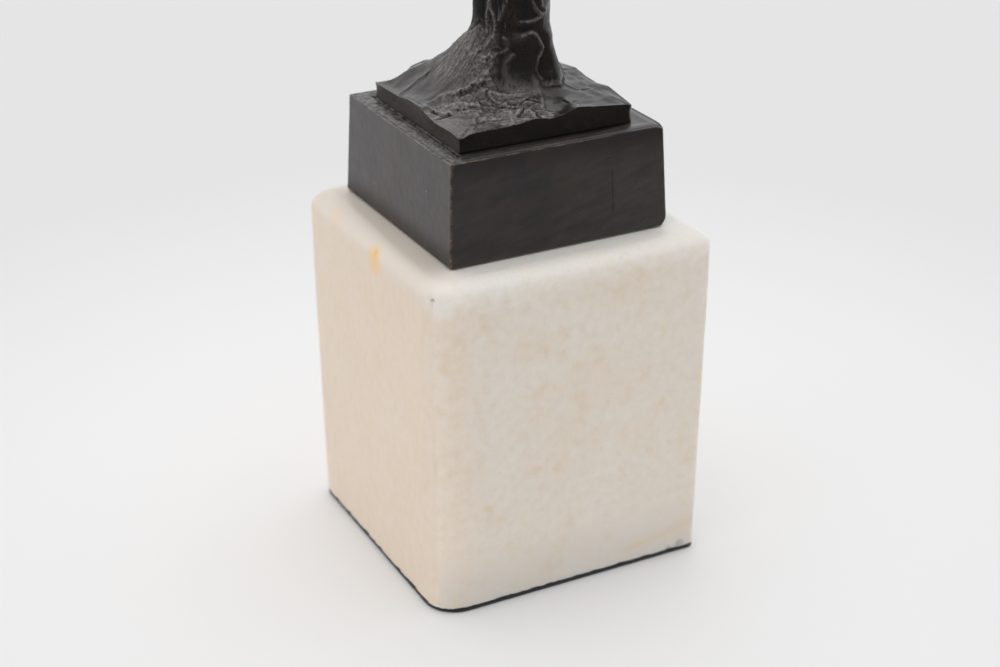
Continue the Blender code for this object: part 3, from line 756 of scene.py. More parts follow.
def block_wear(rings, at):
    """Bare metal along the front arris, the top edges and the corner where they meet."""
    ragged = fractal(rings / 2.8, 3)
    to_arris = np.hypot(at.left, at.front)
    wear = only(at.outside, bump(to_arris - 0.1, 0.34) * (0.55 + 0.9 * ragged))
    at_front = (at.front < 1.2) & (at.left < 45)
    at_left = (at.left < 1.2) & (at.front < 26)
    edge_wear = np.where(at_front, 0.30 + 0.7 * ragged, np.where(at_left, 0.10 + 0.7 * ragged, 0.05))
    edge = slice(at.top.start, at.top.start + 2)
    wear[edge] = edge_wear[edge]
    to_corner = np.hypot(to_arris, (at.up - 1) * BLOCK_HEIGHT)
    return np.maximum(wear, bump(to_corner, 1.0) * (0.9 + ragged))


def block_haze(rings, at, front, brushed):
    """The pale haze: swept over the front, thin elsewhere, with specks on the left face, a pale deposit
    along the left of the top and a painted highlight band along its front."""
    x = rings[..., 0]
    haze = 0.052 + 0.022 * ramp(x, -10, 15) + 0.016 * (x > SEAM_X) * smooth((0.72 - at.up) * 9)
    haze *= smooth((0.97 - at.up) * 4) * np.clip(1 + brushed * 0.5, 0.4, 1.7)
    haze = np.where(front, haze, 0.035 + 0.02 * brushed)
    specks = smooth((fractal(rings / 0.55 + 70, 2) - 0.92) * 9)
    specks *= smooth((fractal(rings / 6 + 20, 2) - 0.1) * 4)
    haze = np.maximum(haze, np.where(at.left < 1.2, specks * 0.8, 0))
    dusting = smooth(0.5 + fractal(rings / 0.9, 3) * 1.2)
    # A pale deposit along the left of the top, and a painted highlight along the crown by the front edge.
    top_dust_and_highlight = np.maximum(0.42 * ramp(at.left, 6.4, 4.8), 0.12 * bump(at.front - 3.2, 1.5)) * dusting
    return only(at.outside, haze) + only(at.top, top_dust_and_highlight)


def block_marks(rings, at):
    """The marks that the bronze material reads, for every point of the block."""
    x, y, z = np.moveaxis(rings, -1, 0)
    front = (at.front < 1.0) & (at.left > 0.5)
    brushed = fractal(np.stack((x * 0.08 + z * 0.03, y * 0.08, z * 0.40 - x * 0.10), axis=-1), 5, 0.62)
    browner = 0.35 * ramp(x, 2, 26) + 0.35 * lump(x, at.up, (3, 0.55), (13, 0.18))
    # Painted shade: darker towards the foot of the walls, and in the channel along the ground's foot. The
    # seam's dark line is the block's own.
    low = ramp(at.up, 0.26, 0)
    grime_and_shade = only(at.outside, np.where(front, 0.15 * low + 0.6 * at.seam, 0.45 * low))
    grime_and_shade += only(at.top, 0.6 * bump(at.front - 6.4, 0.9) * ramp(x, CHANNEL_END, CHANNEL_FULL))
    marks = {
        "wear": block_wear(rings, at),
        "pale": block_haze(rings, at, front, brushed),
        "brown": only(at.outside, np.where(front, browner * smooth(0.6 + brushed), 0)),
        "grime_and_shade": grime_and_shade,
    }
    return {name: np.clip(values, 0, 1) for name, values in marks.items()}


def add_lugs(block):
    """The two lugs inside the block that the bridge bar hangs under, with their screw holes."""
    bar_low, bar_high = box_mm("bridge_bar")
    bottom = bar_high[2] + LUG_GAP
    for near_end, far_end in ((-LUG_OUTER, -LUG_INNER), (LUG_INNER, LUG_OUTER)):
        outline = rounded_box((near_end, -LUG_HALF_WIDTH), (far_end, LUG_HALF_WIDTH), LUG_CORNERS, 4, 2)
        combine(block, outline, bottom, bottom + LUG_HEIGHT, "UNION")
    places = [(-LUG_HOLE_REACH, 0), (LUG_HOLE_REACH, 0)]
    cut_holes(block, places, LUG_HOLE_RADIUS, bottom - 1, bar_low[2] + LUG_HOLE_DEPTH)


def build_block(material):
    rings, at = block_shape()
    marks = block_marks(rings, at)
    block = ring_mesh("bronze_block_patina", turned_to_bronze(rings), material, marks=marks, sharp=35)
    cut_holes(block, SCREW_PLACES, SCREW_HOLE_RADIUS, BLOCK_TOP - BLOCK_PLATE - 2, BLOCK_TOP + 3)
    add_lugs(block)
    stand_in(block, "bronze_top", "bronze_block")


# ---- the ground's smooth form -------------------------------------------------------------------
# Height of the slab's upper edge above the block along each side: (place along the side, height)
FRONT_EDGE = (
    *((-30, 4.7), (-26, 5.9), (-12, 6.1), (-4, 7.1), (1, 6.2)),
    *((5, 6.7), (10.5, 8.4), (20, 7.2), (28, 6.4), (31, 5.2)),
)
RIGHT_EDGE = ((-31, 5.0), (-26, 5.7), (-14, 7.3), (-7, 6.3), (0, 6.6), (7, 7.6), (18, 6.3), (31, 5.6))
BACK_EDGE = (
    *((-31, 5.3), (-25, 5.3), (-21, 6.1), (-18, 8.8), (-13, 10.2)),
    *((-7, 9.8), (6, 8), (20, 7), (31, 5.6)),
)
LEFT_EDGE = ((-31, 4.8), (-25, 5.3), (-14, 4.8), (-8, 5.7), (-3, 6.8), (5, 6.8), (12, 5.7), (31, 5.3))


def turned_by(angle, centre):
    """Signed angle from centre in degrees, -180 to 180."""
    return np.degrees((angle - centre + math.pi) % (2 * math.pi) - math.pi)


def slab_outline():
    """Evenly spaced points round the slab, with one exactly at each corner to keep it sharp."""
    corners_round = [SLAB_CENTRE + SLAB_HALF * sides for sides in ((1, 1), (-1, 1), (-1, -1), (1, -1))]
    shares = np.arange(GROUND_AROUND // 4)[:, None] / (GROUND_AROUND // 4)
    sides = zip(corners_round, corners_round[1:] + corners_round[:1])
    return np.concatenate([start + (goal - start) * shares for start, goal in sides])


def rounded_slab(outline):
    """The slab's outline with its right front corner rounded off."""
    arc = SLAB_CENTRE + (SLAB_HALF - SLAB_ROUNDING) * (1, -1)
    arm = (outline - arc) * (1, -1)
    length = np.maximum(np.linalg.norm(arm, axis=1), 1e-6)[:, None]
    on_arc = (arm > 0).all(axis=1)[:, None]
    return np.where(on_arc, arc + arm * (1, -1) / length * SLAB_ROUNDING, outline)


def edge_height(outline):
    x, y = (outline - SLAB_CENTRE).T
    near_side = 0.4
    height = np.zeros(len(outline))
    for table, place, on_side in (
        (FRONT_EDGE, x, y < -SLAB_HALF[1] + near_side),
        (BACK_EDGE, x, y > SLAB_HALF[1] - near_side),
        (LEFT_EDGE, y, x < -SLAB_HALF[0] + near_side),
        (RIGHT_EDGE, y, x > SLAB_HALF[0] - near_side),
    ):
        height = np.where(on_side, np.interp(place, *zip(*table)), height)
    kernel = np.hanning(9) / np.hanning(9).sum()
    return np.convolve(np.r_[height[-4:], height, height[:4]], kernel, "valid")


def root_share(angles):
    """1 along the long root, falling to 0 round the trunk on both sides."""
    turn = turned_by(angles, CREST_ANGLE)
    return np.where(turn > 0, ramp(turn, 77, 27), ramp(turn, -100, -8))


def rock_height(points):
    """The ground's height above the block away from the slab's edge."""
    x, y = points[..., 0], points[..., 1]
    from_trunk = np.hypot(x - TRUNK_CENTRE[0], y - TRUNK_CENTRE[1])
    left_fall = 1.6 * ramp(x, -6, -28)
    back_lump = 2.4 * lump(x, y, (-17, 27), (7, 5))
    return 7.4 + 1.4 * ramp(from_trunk, 24, 11) - left_fall + back_lump


def smooth_ground():
    """Rings from the slab's upper edge in to the trunk's foot and up the trunk, in the block's axes
    with heights above the block, the direction of each column, and the slab's outline."""
    outline = slab_outline()
    angles = np.arctan2(*(outline - TRUNK_CENTRE).T[::-1])
    unit = towards(angles)
    edge = edge_height(outline)
    outline = rounded_slab(outline)
    root, turn = root_share(angles), turned_by(angles, VIEWER_ANGLE)
    top_radius = 10.5 + 1.57 * np.abs(np.sin(np.radians(turn))) ** 2
    fan = bump(turn - 12, 36)
    flare = 0.7 + 3.3 * fan
    stout = 3.6 * ramp(turn, 40, 80) * ramp(turn, 160, 100)
    foot_radius = top_radius + 0.5 + stout + flare
    foot = TRUNK_CENTRE + unit * foot_radius[:, None]
    foot_rise = 0.5 + 1.4 * fan
    foot_z = rock_height(foot) + ROOT_RISE * root + foot_rise
    rings = []
    for share in np.linspace(0, 1, 110) ** 0.9:
        flat = outline + (foot - outline) * share
        level = edge + (rock_height(flat) - edge) * smooth(share * 3.2)
        off_trunk = np.linalg.norm(flat - TRUNK_CENTRE, axis=1) - foot_radius
        level = level + foot_rise * np.exp(-off_trunk / (1.0 + 2.0 * fan))
        fall = share ** (1.55 + 0.85 * (1 - root))
        rings.append(with_height(flat, level + ROOT_RISE * root * fall))
    for share in np.linspace(0, 1, 80)[1:]:
        climb = (TOP_RISE - foot_z) * share
        radius = top_radius + (foot_radius - flare - top_radius) * (1 - smooth(climb / 19)) ** 1.6
        radius = radius + flare * np.exp(-climb / (0.8 + 2.2 * fan))
        rings.append(with_height(TRUNK_CENTRE + unit * radius[:, None], foot_z + climb))
    return np.array(rings), angles, outline


# ---- the ground's relief and marks --------------------------------------------------------------
# The strokes' points were not written by hand. They were picked by eye on the photograph, and a separate
# helper cast them through the solved camera on to the ground and the trunk. 71 of the 125 stand here as
# cast, in millimetres or degrees, and most of the others are close to those numbers.
# Broken edges on the ground: (height, undercut's half width, paleness, points in the bronze's x, y).
# A negative height marks a deep undercut with dark painted shade; every lip gets a painted highlight,
# stronger with paleness.
GROUND_STROKES = (
    (-1.1, 0.7, 0, ((-27.2, -7.3), (-25.4, -11.3))),
    (-0.9, 0.5, 0, ((-30.7, -10.9), (-27.8, -11.3))),
    (-0.9, 0.45, 0, ((-21.4, -11.7), (-17.5, -12.9))),
    (-1.6, 0.9, 0, ((-17.4, -5.9), (-14.7, -6.1), (-10.6, -6.2))),
    (-0.9, 0.45, 0, ((-10.3, -9.1), (-8.7, -14.1))),
    (-0.9, 0.5, 0, ((-7.6, -17.3), (-6.1, -19.1))),
    (-0.9, 0.6, 0, ((-8.4, -25.4), (-4.8, -21.9))),
    (-0.6, 0.5, 0, ((-2.7, -17.5), (-0.3, -16.4), (1.4, -17.8))),
    (-0.9, 0.5, 0, ((-2.8, -24.1), (-3.1, -26.6), (-3.8, -29.8))),
    (-0.6, 0.5, 0, ((-19.9, -22.9), (-17.5, -23), (-13.9, -24.7))),
    (0.7, 0.9, 0.3, ((-15, -12.1), (-16.4, -16.8), (-20.7, -21.2), (-23.3, -25.6))),
    (0.6, 0.8, 0.3, ((-14.3, -16.2), (-11.7, -15.2), (-11.1, -18.8))),
    (0.9, 0.7, 0.3, ((-8, -16.2), (-6, -15), (-4.1, -16.8))),
    (0.6, 0.45, 0.3, ((6.2, -12.9), (4.7, -17.6), (2.8, -21.7))),
    (0.5, 0.6, 0.2, ((11.5, -19), (12.4, -22.4), (12.4, -26.8), (10.5, -30))),
    (0.5, 0.5, 0.2, ((-2.9, -25), (-2.6, -28.3))),
    (0.5, 1.5, 0, ((23, 14), (25.2, 7.5), (25.3, -2.3), (24.6, -13.2), (24.7, -22.4))),
    (0.4, 1.7, 0, ((17.7, -7.8), (20.7, -13.6), (20.1, -21))),
    (0.7, 0.6, 0.4, ((7.6, -10.8), (10.7, -11.4), (14.8, -10.4), (18.2, -6.5))),
    (0.5, 1.2, 0, ((-30.7, 14), (-27.9, 15.4), (-24.4, 15.2), (-21.4, 14.2))),
    (0.4, 0.6, 0.1, ((-30.7, 12), (-30, 4), (-30.2, -4))),
)
# Scoops and swellings: (height, centre, half widths in x and y)
GROUND_DISHES = (
    (-1.5, (6, -25), (4.6, 4.6)),
    (-0.8, (9, -16.2), (3, 4)),
    (0.9, (-17, 27.5), (5, 3)),
    (-0.5, (21, 3), (3, 7)),
    (0.5, (-26.5, -20), (3.5, 6)),
    (-0.5, (-28, 22), (5, 6)),
)
# Veins and one crack on the trunk: (height, half width, paleness, points in degrees round from the
# viewer and millimetres above the block)
TRUNK_STROKES = (
    (0.5, 0.42, 0.7, ((-38, 44), (-38, 37.1), (-43, 31.8), (-41, 30))),
    (0.5, 0.4, 0.7, ((-38, 37.1), (-36, 35.2), (-31, 32.8), (-28, 30), (-30, 27.1), (-36, 25), (-43, 22.9))),
    (0.35, 0.45, 0.4, ((-8, 44), (-10, 37.5), (-17, 33.7), (-22, 31.7))),
    (0.4, 0.42, 0.5, (
        (30, 44), (35, 37.1), (42, 34.7), (53, 32.4), (46, 31.6), (35, 31), (26, 30.9), (12, 31.1),
    )),
    (0.3, 0.42, 0.4, ((53, 32.4), (63, 33.5), (52, 35.9), (50, 44))),
    (0.45, 0.4, 0.6, (
        (17, 26.6), (26, 27.1), (35, 27.5), (42, 26.3), (48, 24.5), (52, 22.1),
        (48, 20), (44, 18.8), (42, 17), (39, 15.2), (41, 13.1), (46, 12),
    )),
    # The crack, darkened with painted shade.
    (-0.7, 0.6, 0, ((-100, 24.5), (-72, 28.3), (-57, 30.1), (-49, 29.1))),
    (0.55, 0.6, 1, ((-33, 17.5), (-38, 13.9), (-33, 12.4), (-36, 11))),
    (0.65, 0.7, 1, ((-42, 19.6), (-37, 20.4), (-33, 19.6), (-35, 17.9), (-41, 18.3))),
    (0.45, 0.6, 0.5, ((-31, 11.2), (-27, 10.6))),
    (0.35, 0.35, 0.8, ((-15, 26), (-10, 25.6))),
    (0.3, 0.4, 0.4, ((-24, 22.8), (-20, 22.4))),
    (0.35, 0.45, 0.4, ((-7, 22.2), (-20, 21.1), (-29, 20.4))),
    (0.3, 0.5, 0.3, ((2, 20.6), (-8, 18.3))),
)
HIGH_SIDE = np.array((-0.1, 0.995))  # the ledges' high side, away from the viewer
VIEW_RIGHT, VIEW_FORWARD = np.array((0.889, -0.457)), np.array((0.457, 0.889))
# Lines on the ground that its broken and its smooth parts follow
ROCK_BAND = ((-30, -8), (-21, -9), (-12, -9), (-6, -17), (-4, -26))
ROCK_HEAP = ((-14, -14), (-15, -21), (-11, -27))
SMOOTH_PLATE = ((-24, -14), (-25.5, -24))
PALE_PLATE = ((-24, -13), (-25, -25), (-12, -27))
FAR = 99.0
LEDGE_SCALE, VEIN_SCALE, CHIP_SCALE = 0.8, 1.25, 1.15
# Pale films, partly a deposit and partly painted sheen on parts that face the light.
DUST_AND_SHEEN = {"fan": 0.20, "rock": 0.17, "front": 0.05, "flank": 0.29, "plate": 0.25}  # how pale each part is

# Each point of the ground: its plan and height above the block, degrees round the trunk from the
# viewer, distance from the trunk's centre, how much it is ground, trunk, long root and clear of the
# slab's edge, and the wobbles that keep lines from looking drawn.
Spot = namedtuple("Spot", "flat z turn from_trunk ground trunk root inside warp waver")


def from_line(points, line, high_side=None):
    """Distance of every point to a line through the given places. With high_side, a direction, it is
    negative for points on the other side of the line."""
    nearest = np.full(points.shape[:-1], FAR)
    for start, goal in zip(line, line[1:]):
        start, run = np.array(start, float), np.subtract(goal, start).astype(float)
        along = np.clip((points - start) @ run / (run @ run), 0, 1)
        arm = points - start - along[..., None] * run
        distance = np.linalg.norm(arm, axis=-1)
        if high_side is not None:
            across = np.array((-run[1], run[0]))
            distance = np.copysign(distance, arm @ across * np.sign(across @ high_side))
        nearest = np.where(np.abs(distance) < np.abs(nearest), distance, nearest)
    return nearest


def chipped(points):
    """Shallow scoops that meet in sharp ridges, like chipped stone, longest across the view."""
    random = np.random.RandomState(7)
    surface = np.full(points.shape[:-1], FAR)
    for x in np.arange(-32, 4, 3.9):
        for y in np.arange(-32, 0, 3.1):
            arm = points - (np.array((x, y)) + random.uniform(-2.1, 2.1, 2))
            tilt = random.uniform(-0.16, 0.16, 2)
            scoop = 0.06 * (arm @ VIEW_RIGHT) ** 2 + 0.14 * (arm @ VIEW_FORWARD) ** 2
            surface = np.minimum(surface, random.uniform(0, 0.5) + arm @ tilt + scoop)
    return surface - 0.45


def blurred(values, reach):
    """The mean over a small window of rings and columns."""
    total = sum(np.roll(values, step, axis=1) for step in range(-reach, reach + 1))
    padded = np.pad(total, ((reach, reach), (0, 0)), mode="edge")
    total = sum(padded[k : k + len(values)] for k in range(2 * reach + 1))
    return total / (2 * reach + 1) ** 2


def ledge_relief(points, where, waver):
    """Broken edges on the ground: each line is a small step with its high side away from the viewer,
    a painted highlight on its lip, and painted shade in the undercut below it. Also the pale and dark shares
    that go with them."""
    relief, pale, grime_and_shade = (np.zeros(points.shape[:-1]) for _ in range(3))
    for height, width, paleness, line in GROUND_STROKES:
        offset = from_line(points, line, HIGH_SIDE)
        step = np.where(offset > 0, np.exp(-offset / 2.0), bump(offset, 0.35))
        undercut = bump(offset + width * 1.1, width * 0.85)
        deep, dark = (0.95, 1.0) if height < 0 else (0.2, 0.3)
        relief += abs(height) * where * waver * (0.75 * step - deep * undercut)
        # Painted shade in the undercut, and a painted highlight on the lip.
        grime_and_shade = np.maximum(grime_and_shade, dark * undercut * where)
        pale = np.maximum(pale, (0.3 + paleness) * bump(offset - 0.2, 0.45) * where * waver)
    return relief, pale, grime_and_shade


def vein_relief(points, where, waver):
    """Thin raised veins and a crack on the trunk, on points in its unrolled surface, and the pale share
    (part wear, part painted highlight) and the crack's painted shade that go with them."""
    relief, pale, grime_and_shade = (np.zeros(points.shape[:-1]) for _ in range(3))
    for height, width, paleness, line in TRUNK_STROKES:
        unrolled = [(degrees * MM_PER_DEGREE, level) for degrees, level in line]
        crest = np.exp(-((from_line(points, unrolled) / width) ** 1.5)) * where * waver
        relief += height * crest
        pale = np.maximum(pale, paleness * crest)
        # The crack is darkened as painted shade.
        if height < 0:
            grime_and_shade = np.maximum(grime_and_shade, crest)
    return relief, pale, grime_and_shade


def rocky_zone(flat):
    """1 where the ground is broken rock: the front left half, apart from one smooth plate."""
    rocky = np.maximum(ramp(from_line(flat, ROCK_BAND), 8.5, 4.5), ramp(from_line(flat, ROCK_HEAP), 6, 3))
    return rocky * ramp(from_line(flat, SMOOTH_PLATE), 2, 4)


def ground_spot(rings, angles):
    flat, z = rings[..., :2], rings[..., 2]
    turn = turned_by(angles, VIEWER_ANGLE)[None, :] * np.ones_like(z)
    from_trunk = np.linalg.norm(flat - TRUNK_CENTRE, axis=-1)
    ground, trunk = ramp(from_trunk, 12.2, 14.2), ramp(from_trunk, 17.7, 12.2)
    root = root_share(angles)[None, :] * ramp(from_trunk, 27, 18)
    inside = smooth(np.arange(len(rings))[:, None] / 9) * np.ones_like(z)
    warp = np.stack((fractal(rings / 3.2 + 5, 2), fractal(rings / 3.2 + 31, 2)), axis=-1) * 0.5
    waver = np.clip(0.95 + fractal(rings / 4.5 + 60, 1) * 0.7, 0.5, 1.4)
    return Spot(flat, z, turn, from_trunk, ground, trunk, root, inside, warp, waver)


def root_ridges(rings, angles, at):
    """Ridges that run down the long root from the trunk."""
    direction = towards(angles)[None] * np.ones_like(at.flat)
    along = np.concatenate((direction * 11, at.from_trunk[..., None] * 0.09), axis=-1)
    along = along + fractal(rings / 6, 2)[..., None] * 0.35
    return (ridged(along, 2) - 0.5) * 0.75 * at.root * ramp(at.z, 31, 27)


def trunk_lobes(rings, at, hollow):
    """Two swellings and the hollow between root and trunk, and the flutes of its upper part."""
    lobe_a = ramp(np.abs(at.turn - 13), 36, 0) * ramp(at.z, 28.6, 25.1)
    lobe_b = ramp(np.abs(at.turn - 72), 30, 0) * ramp(at.z, 29, 24)
    flutes = fractal(rings * (0.8, 0.8, 0.2), 3) * (0.05 + 0.15 * bump(at.turn + 8, 24))
    return at.trunk * (1.1 * lobe_a + 1.3 * lobe_b + ramp(at.z, 26, 30) * flutes) - 0.8 * hollow


def ground_pale(rings, at, rocky, raised, fan, drawn):
    """Pale colour: films on the lit parts, partly a deposit and partly painted sheen, a painted highlight on
    raised relief, and a painted glint along the slab's upper front edge.
    """
    x, y = at.flat[..., 0], at.flat[..., 1]
    left_side = at.trunk * ramp(at.turn, -18, -38) * ramp(at.turn, -150, -110)
    left_flank = np.clip(at.root * 0.8 + left_side, 0, 1) * ramp(at.z, 33, 25)
    plate = ramp(from_line(at.flat, PALE_PLATE), 10, 5)
    dust_and_sheen = DUST_AND_SHEEN["fan"] * fan + DUST_AND_SHEEN["rock"] * rocky + DUST_AND_SHEEN["front"] * at.ground * ramp(x, 4, -10)
    dust_and_sheen = dust_and_sheen + DUST_AND_SHEEN["flank"] * left_flank + DUST_AND_SHEEN["plate"] * plate
    # Painted highlight on raised relief.
    proud_highlight = np.clip((raised - 0.02) * 2.5, 0, 0.6) * (0.12 + 0.88 * np.maximum(at.ground, left_flank))
    # Painted glint along the slab's upper front edge.
    rim_glint = bump(np.arange(len(rings))[:, None] - 1.0, 1.6) * smooth(fractal(rings / 4 + 80, 2) * 2 + 0.4)
    pale = np.maximum.reduce((drawn * 0.7, dust_and_sheen + proud_highlight, 0.5 * rim_glint * (y < -25)))
    return np.clip(pale * np.clip(0.75 + fractal(rings / 0.8 + 11, 2) * 0.9, 0, 1.3), 0, 1)


def ground_relief(rings, angles):
    """Outward relief in millimetres, and the marks (pale deposit and painted highlight, brown, dirt and
    painted shade) that go with it.
    """
    at = ground_spot(rings, angles)
    flat, z, turn, trunk, root = at.flat, at.z, at.turn, at.trunk, at.root
    off_root = at.ground * (1 - 0.8 * root)
    ledges, ledge_pale, ledge_shade = ledge_relief(flat + at.warp, off_root, at.waver)
    unrolled = np.stack((turn * MM_PER_DEGREE, z), axis=-1) + at.warp * 0.35
    veins, vein_pale, crack_shade = vein_relief(unrolled, trunk, at.waver)
    x, y = np.moveaxis(flat, -1, 0)
    dishes = sum(height * lump(x, y, centre, half) for height, centre, half in GROUND_DISHES)
    rocky = rocky_zone(flat + at.warp) * off_root
    hollow = lump(turn, z, (-21, 21.5), (15, 5)) * trunk

    relief = LEDGE_SCALE * (ledges + dishes * at.ground) + VEIN_SCALE * veins
    relief += rocky * (CHIP_SCALE * chipped(flat + at.warp * 0.8) + fractal(rings / 1.1, 2) * 0.03)
    relief += fractal(rings / 7, 2) * 0.30 * at.inside + fractal(rings / 0.9, 2) * (0.015 + 0.04 * rocky)
    relief += root_ridges(rings, angles, at) + trunk_lobes(rings, at, hollow)

    raised = relief - blurred(relief, 5)
    upper_left = trunk * ramp(turn, -38, -50) * ramp(turn, -160, -110) * ramp(z, 25, 30)
    fan = bump(turn - 12, 40) * ramp(at.from_trunk, 12, 15.5) * ramp(at.from_trunk, 22, 16)
    # Painted shade: sunken spots are darkened, like the ledges' undercuts and the trunk's crack. The hollow,
    # the ground's right part and the trunk's upper left are made darker too.
    painted_sunk_shade = np.clip((-raised - 0.05) * 2.0, 0, 0.9) * (1 - fan)
    grime_and_shade = np.clip(ledge_shade + crack_shade + painted_sunk_shade + 0.6 * hollow, 0, 1)
    grime_and_shade = np.maximum.reduce((grime_and_shade, 0.32 * at.ground * ramp(x, 6, 12), upper_left))
    streak = bump(turn - 1, 10) * ramp(z, 25, 29)
    streak *= np.clip(0.4 + fractal(rings * (0.9, 0.9, 0.3) + 3, 3) * 1.3, 0, 1)
    brown = np.clip(trunk * streak + 0.6 * hollow + 0.5 * upper_left + 0.25 * root, 0, 1)
    pale = ground_pale(rings, at, rocky, raised, fan, np.maximum(ledge_pale, vein_pale))
    return relief * np.maximum(at.inside, 0.25), {"pale": pale, "brown": brown, "grime_and_shade": grime_and_shade}


def slab_sides(outline, edge_z):
    """Rings from the slab's lower edge up to its upper one, slightly hollow between."""
    sides = []
    for share in (0, 0.12, 0.3, 0.5, 0.7, 0.86, 0.95):
        ring = SLAB_CENTRE + (outline - SLAB_CENTRE) * (1 - 0.25 * math.sin(share * math.pi) / 30)
        sides.append(with_height(ring, GROUND_BOTTOM + (edge_z - GROUND_BOTTOM) * share))
    return sides


def build_ground(material):
    rings, angles, outline = smooth_ground()
    relief, marks = ground_relief(rings, angles)
    rings = rings + ring_normals(rings) * relief[..., None]
    rings[..., 2] = np.minimum(rings[..., 2], TOP_RISE)
    rings[-1, :, 2] = TOP_RISE
    rings[..., 2] += BLOCK_TOP

    bore = circle_like(outline, TRUNK_BORE_RADIUS, TRUNK_CENTRE)
    below = [with_height(bore, z) for z in (TRUNK_BORE_TOP, GROUND_BOTTOM)]
    below += slab_sides(outline, rings[0, :, 2])
    cut_face = with_height(TRUNK_CENTRE + (rings[-1, :, :2] - TRUNK_CENTRE) * 0.98, TRUNK_TOP)
    everything = np.concatenate((np.array(below), rings, cut_face[None]))
    at_left = outline[:, 0] < SLAB_CENTRE[0] - SLAB_HALF[0] + 0.2
    for name, side_mark in (("pale", 0.03), ("brown", 0.35), ("grime_and_shade", 0.0)):
        unseen = np.zeros((len(below), GROUND_AROUND)) + side_mark * at_left
        marks[name] = np.concatenate((unseen, marks[name], np.zeros((1, GROUND_AROUND))))
    ground = ring_mesh("ground_casting_rock", turned_to_bronze(everything), material, marks=marks, sharp=50)
    cut_holes(ground, SCREW_PLACES, SCREW_HOLE_RADIUS, BLOCK_TOP - 3, GROUND_BOTTOM + 4.2)
    stand_in(ground, "bronze_top", "ground_casting")


# ---- hidden hardware ----------------------------------------------------------------------------
def finish_hardware():
    """Zinc plated steel for every CAD node that stays, and red fibre for the one fibre washer."""
    zinc = ((0.8, 3), (0.50, 0.51, 0.52), (0.68, 0.69, 0.70), 0.02, (0.28, 0.42), 1.0)
    red = ((0.6, 4, 0.7), (0.25, 0.05, 0.03), (0.42, 0.11, 0.07), 0.04, (0.7, 0.7), 0.0)
    steel, fibre = speckled_material("zinc_steel", *zinc), speckled_material("red_fibre", *red)
    kept = set(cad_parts) - {"felt_pad", "stone_block", "bronze_block", "ground_casting"}
    for name in sorted(kept):
        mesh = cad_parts[name].data
        mesh.materials.clear()
        mesh.materials.append(fibre if name == "fibre_washer" else steel)


# ---- floor, light and camera --------------------------------------------------------------------
def staged(name, vertices, faces, material):
    """A mesh that isn't part of the object."""
    mesh = bpy.data.meshes.new(name)
    mesh.from_pydata(vertices, [], faces)
    mesh.materials.append(material)
    piece = linked(name, mesh)
    return piece


def build_floor():
    """A large pale floor, a little darker away from the plinth: a painted pool of light."""
    half = 8.0
    corners_round = [(-half, -half, 0), (half, -half, 0), (half, half, 0), (-half, half, 0)]
    material, position = new_material("pale_floor")
    away = node(position.tree, "ShaderNodeVectorMath", {0: position}, "Value", operation="LENGTH")
    # Painted light: paler near the plinth, darker away from it.
    painted_light_falloff = mask(away, 90, 420) + noise(position, 90, 2) * 0.1
    colour = mix_colour(painted_light_falloff.to("MINIMUM", 1.0), (0.90, 0.90, 0.905), (0.765, 0.765, 0.77))
    finish_material(material, Base_Color=colour, Roughness=0.7)
    floor = staged("floor", corners_round, [(0, 1, 2, 3)], material)
    floor.location.z = (FELT_LOW[2] - 0.02) * MM


def build_light():
    """One soft white studio all round, dimmer on the side the viewer stands."""
    world = bpy.data.worlds.new("studio")
    world.use_nodes = True
    tree = world.node_tree
    direction = node(tree, "ShaderNodeTexCoord", {}, "Generated")
    viewer = (*towards(VIEWER_ANGLE + 0.45), -0.35)
    facing = node(tree, "ShaderNodeVectorMath", {0: direction, 1: viewer}, "Value", operation="DOT_PRODUCT")
    background = tree.nodes["Background"]
    strength = LIGHT_STRENGTH - mask(facing, -0.35, 0.85) * (LIGHT_STRENGTH - LIGHT_FRONT)
    feed(tree, background.inputs["Color"], (1.0, 0.998, 1.0))
    feed(tree, background.inputs["Strength"], strength)
    bpy.context.scene.world = world


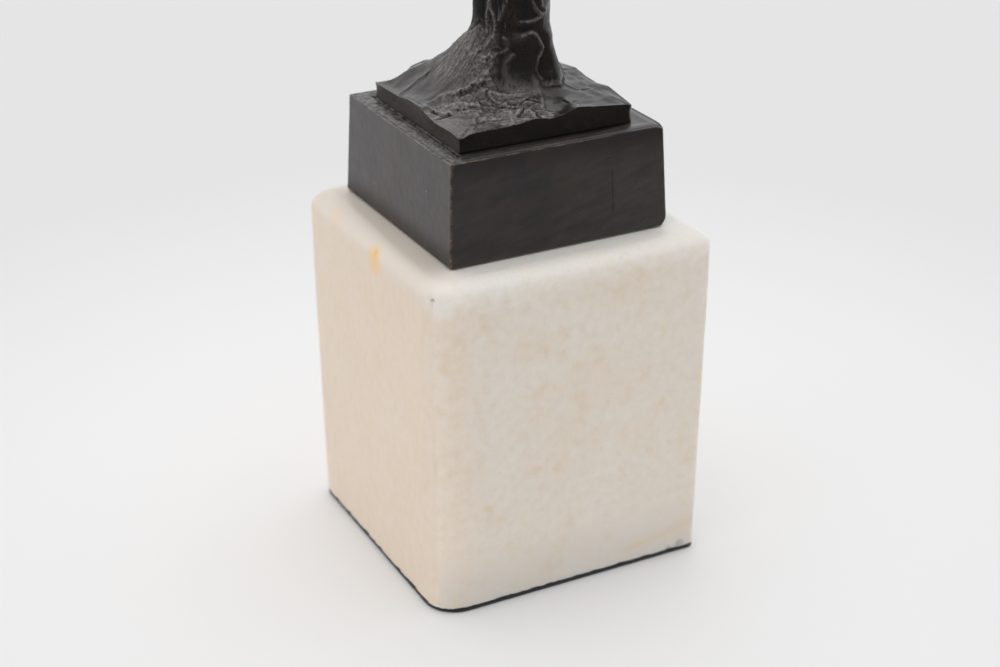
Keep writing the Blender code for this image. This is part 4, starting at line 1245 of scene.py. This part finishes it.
def build_flag():
    """A black card on the viewer's side that only reflections see. It keeps the upright bronze dark."""
    around = VIEWER_ANGLE + FLAG_TURN + np.radians(np.linspace(-FLAG_HALF_SPAN, FLAG_HALF_SPAN, 25))
    columns = FLAG_REACH * towards(around)
    vertices = np.vstack([with_height(columns, z) for z in (0, FLAG_TOP)]).tolist()
    count = len(columns)
    faces = [(i, i + 1, count + i + 1, count + i) for i in range(count - 1)]
    material, position = new_material("flag_cloth")
    colour = mix_colour(noise(position, 2.0, 2), (0.10, 0.10, 0.10), (0.13, 0.13, 0.13))
    flag = staged("black_flag", vertices, faces, finish_material(material, Base_Color=colour, Roughness=1.0))
    flag.visible_camera = flag.visible_diffuse = flag.visible_shadow = False
    flag.visible_transmission = flag.visible_volume_scatter = False


def build_camera():
    """A camera above the plinth and left of its front, focused just above the trunk's top."""
    data = bpy.data.cameras.new("camera")
    data.sensor_width, data.lens, data.clip_start = SENSOR_WIDTH, LENS, 0.01
    camera = linked("camera", data)
    camera.matrix_world = (
        Matrix.Translation(VIEW_AIM)
        @ Matrix.Rotation(VIEW_AZIMUTH, 4, "Z")
        @ Matrix.Rotation(math.pi / 2 - VIEW_ELEVATION, 4, "X")
        @ Matrix.Rotation(VIEW_ROLL, 4, "Z")
        @ Matrix.Translation((0, 0, VIEW_DISTANCE))
    )
    focus = linked("focus_point", None)
    focus.location = (0, 0, TRUNK_TOP * MM + 0.005)
    data.dof.use_dof = True
    data.dof.focus_object = focus
    data.dof.aperture_fstop = F_STOP
    bpy.context.scene.camera = camera
    bpy.context.scene.view_settings.view_transform = "Standard"


def build():
    block_bronze = bronze_material("dark_bronze", 0.30, (0.0235, 0.0215, 0.0222), (0.038, 0.027, 0.022))
    rock_bronze = bronze_material("rock_bronze", 0.26, (0.0105, 0.0080, 0.0075), (0.017, 0.0105, 0.0080))
    build_felt(felt_material())
    build_stone(stone_material())
    build_block(block_bronze)
    build_ground(rock_bronze)
    finish_hardware()
    build_floor()
    build_light()
    build_flag()
    build_camera()


build()
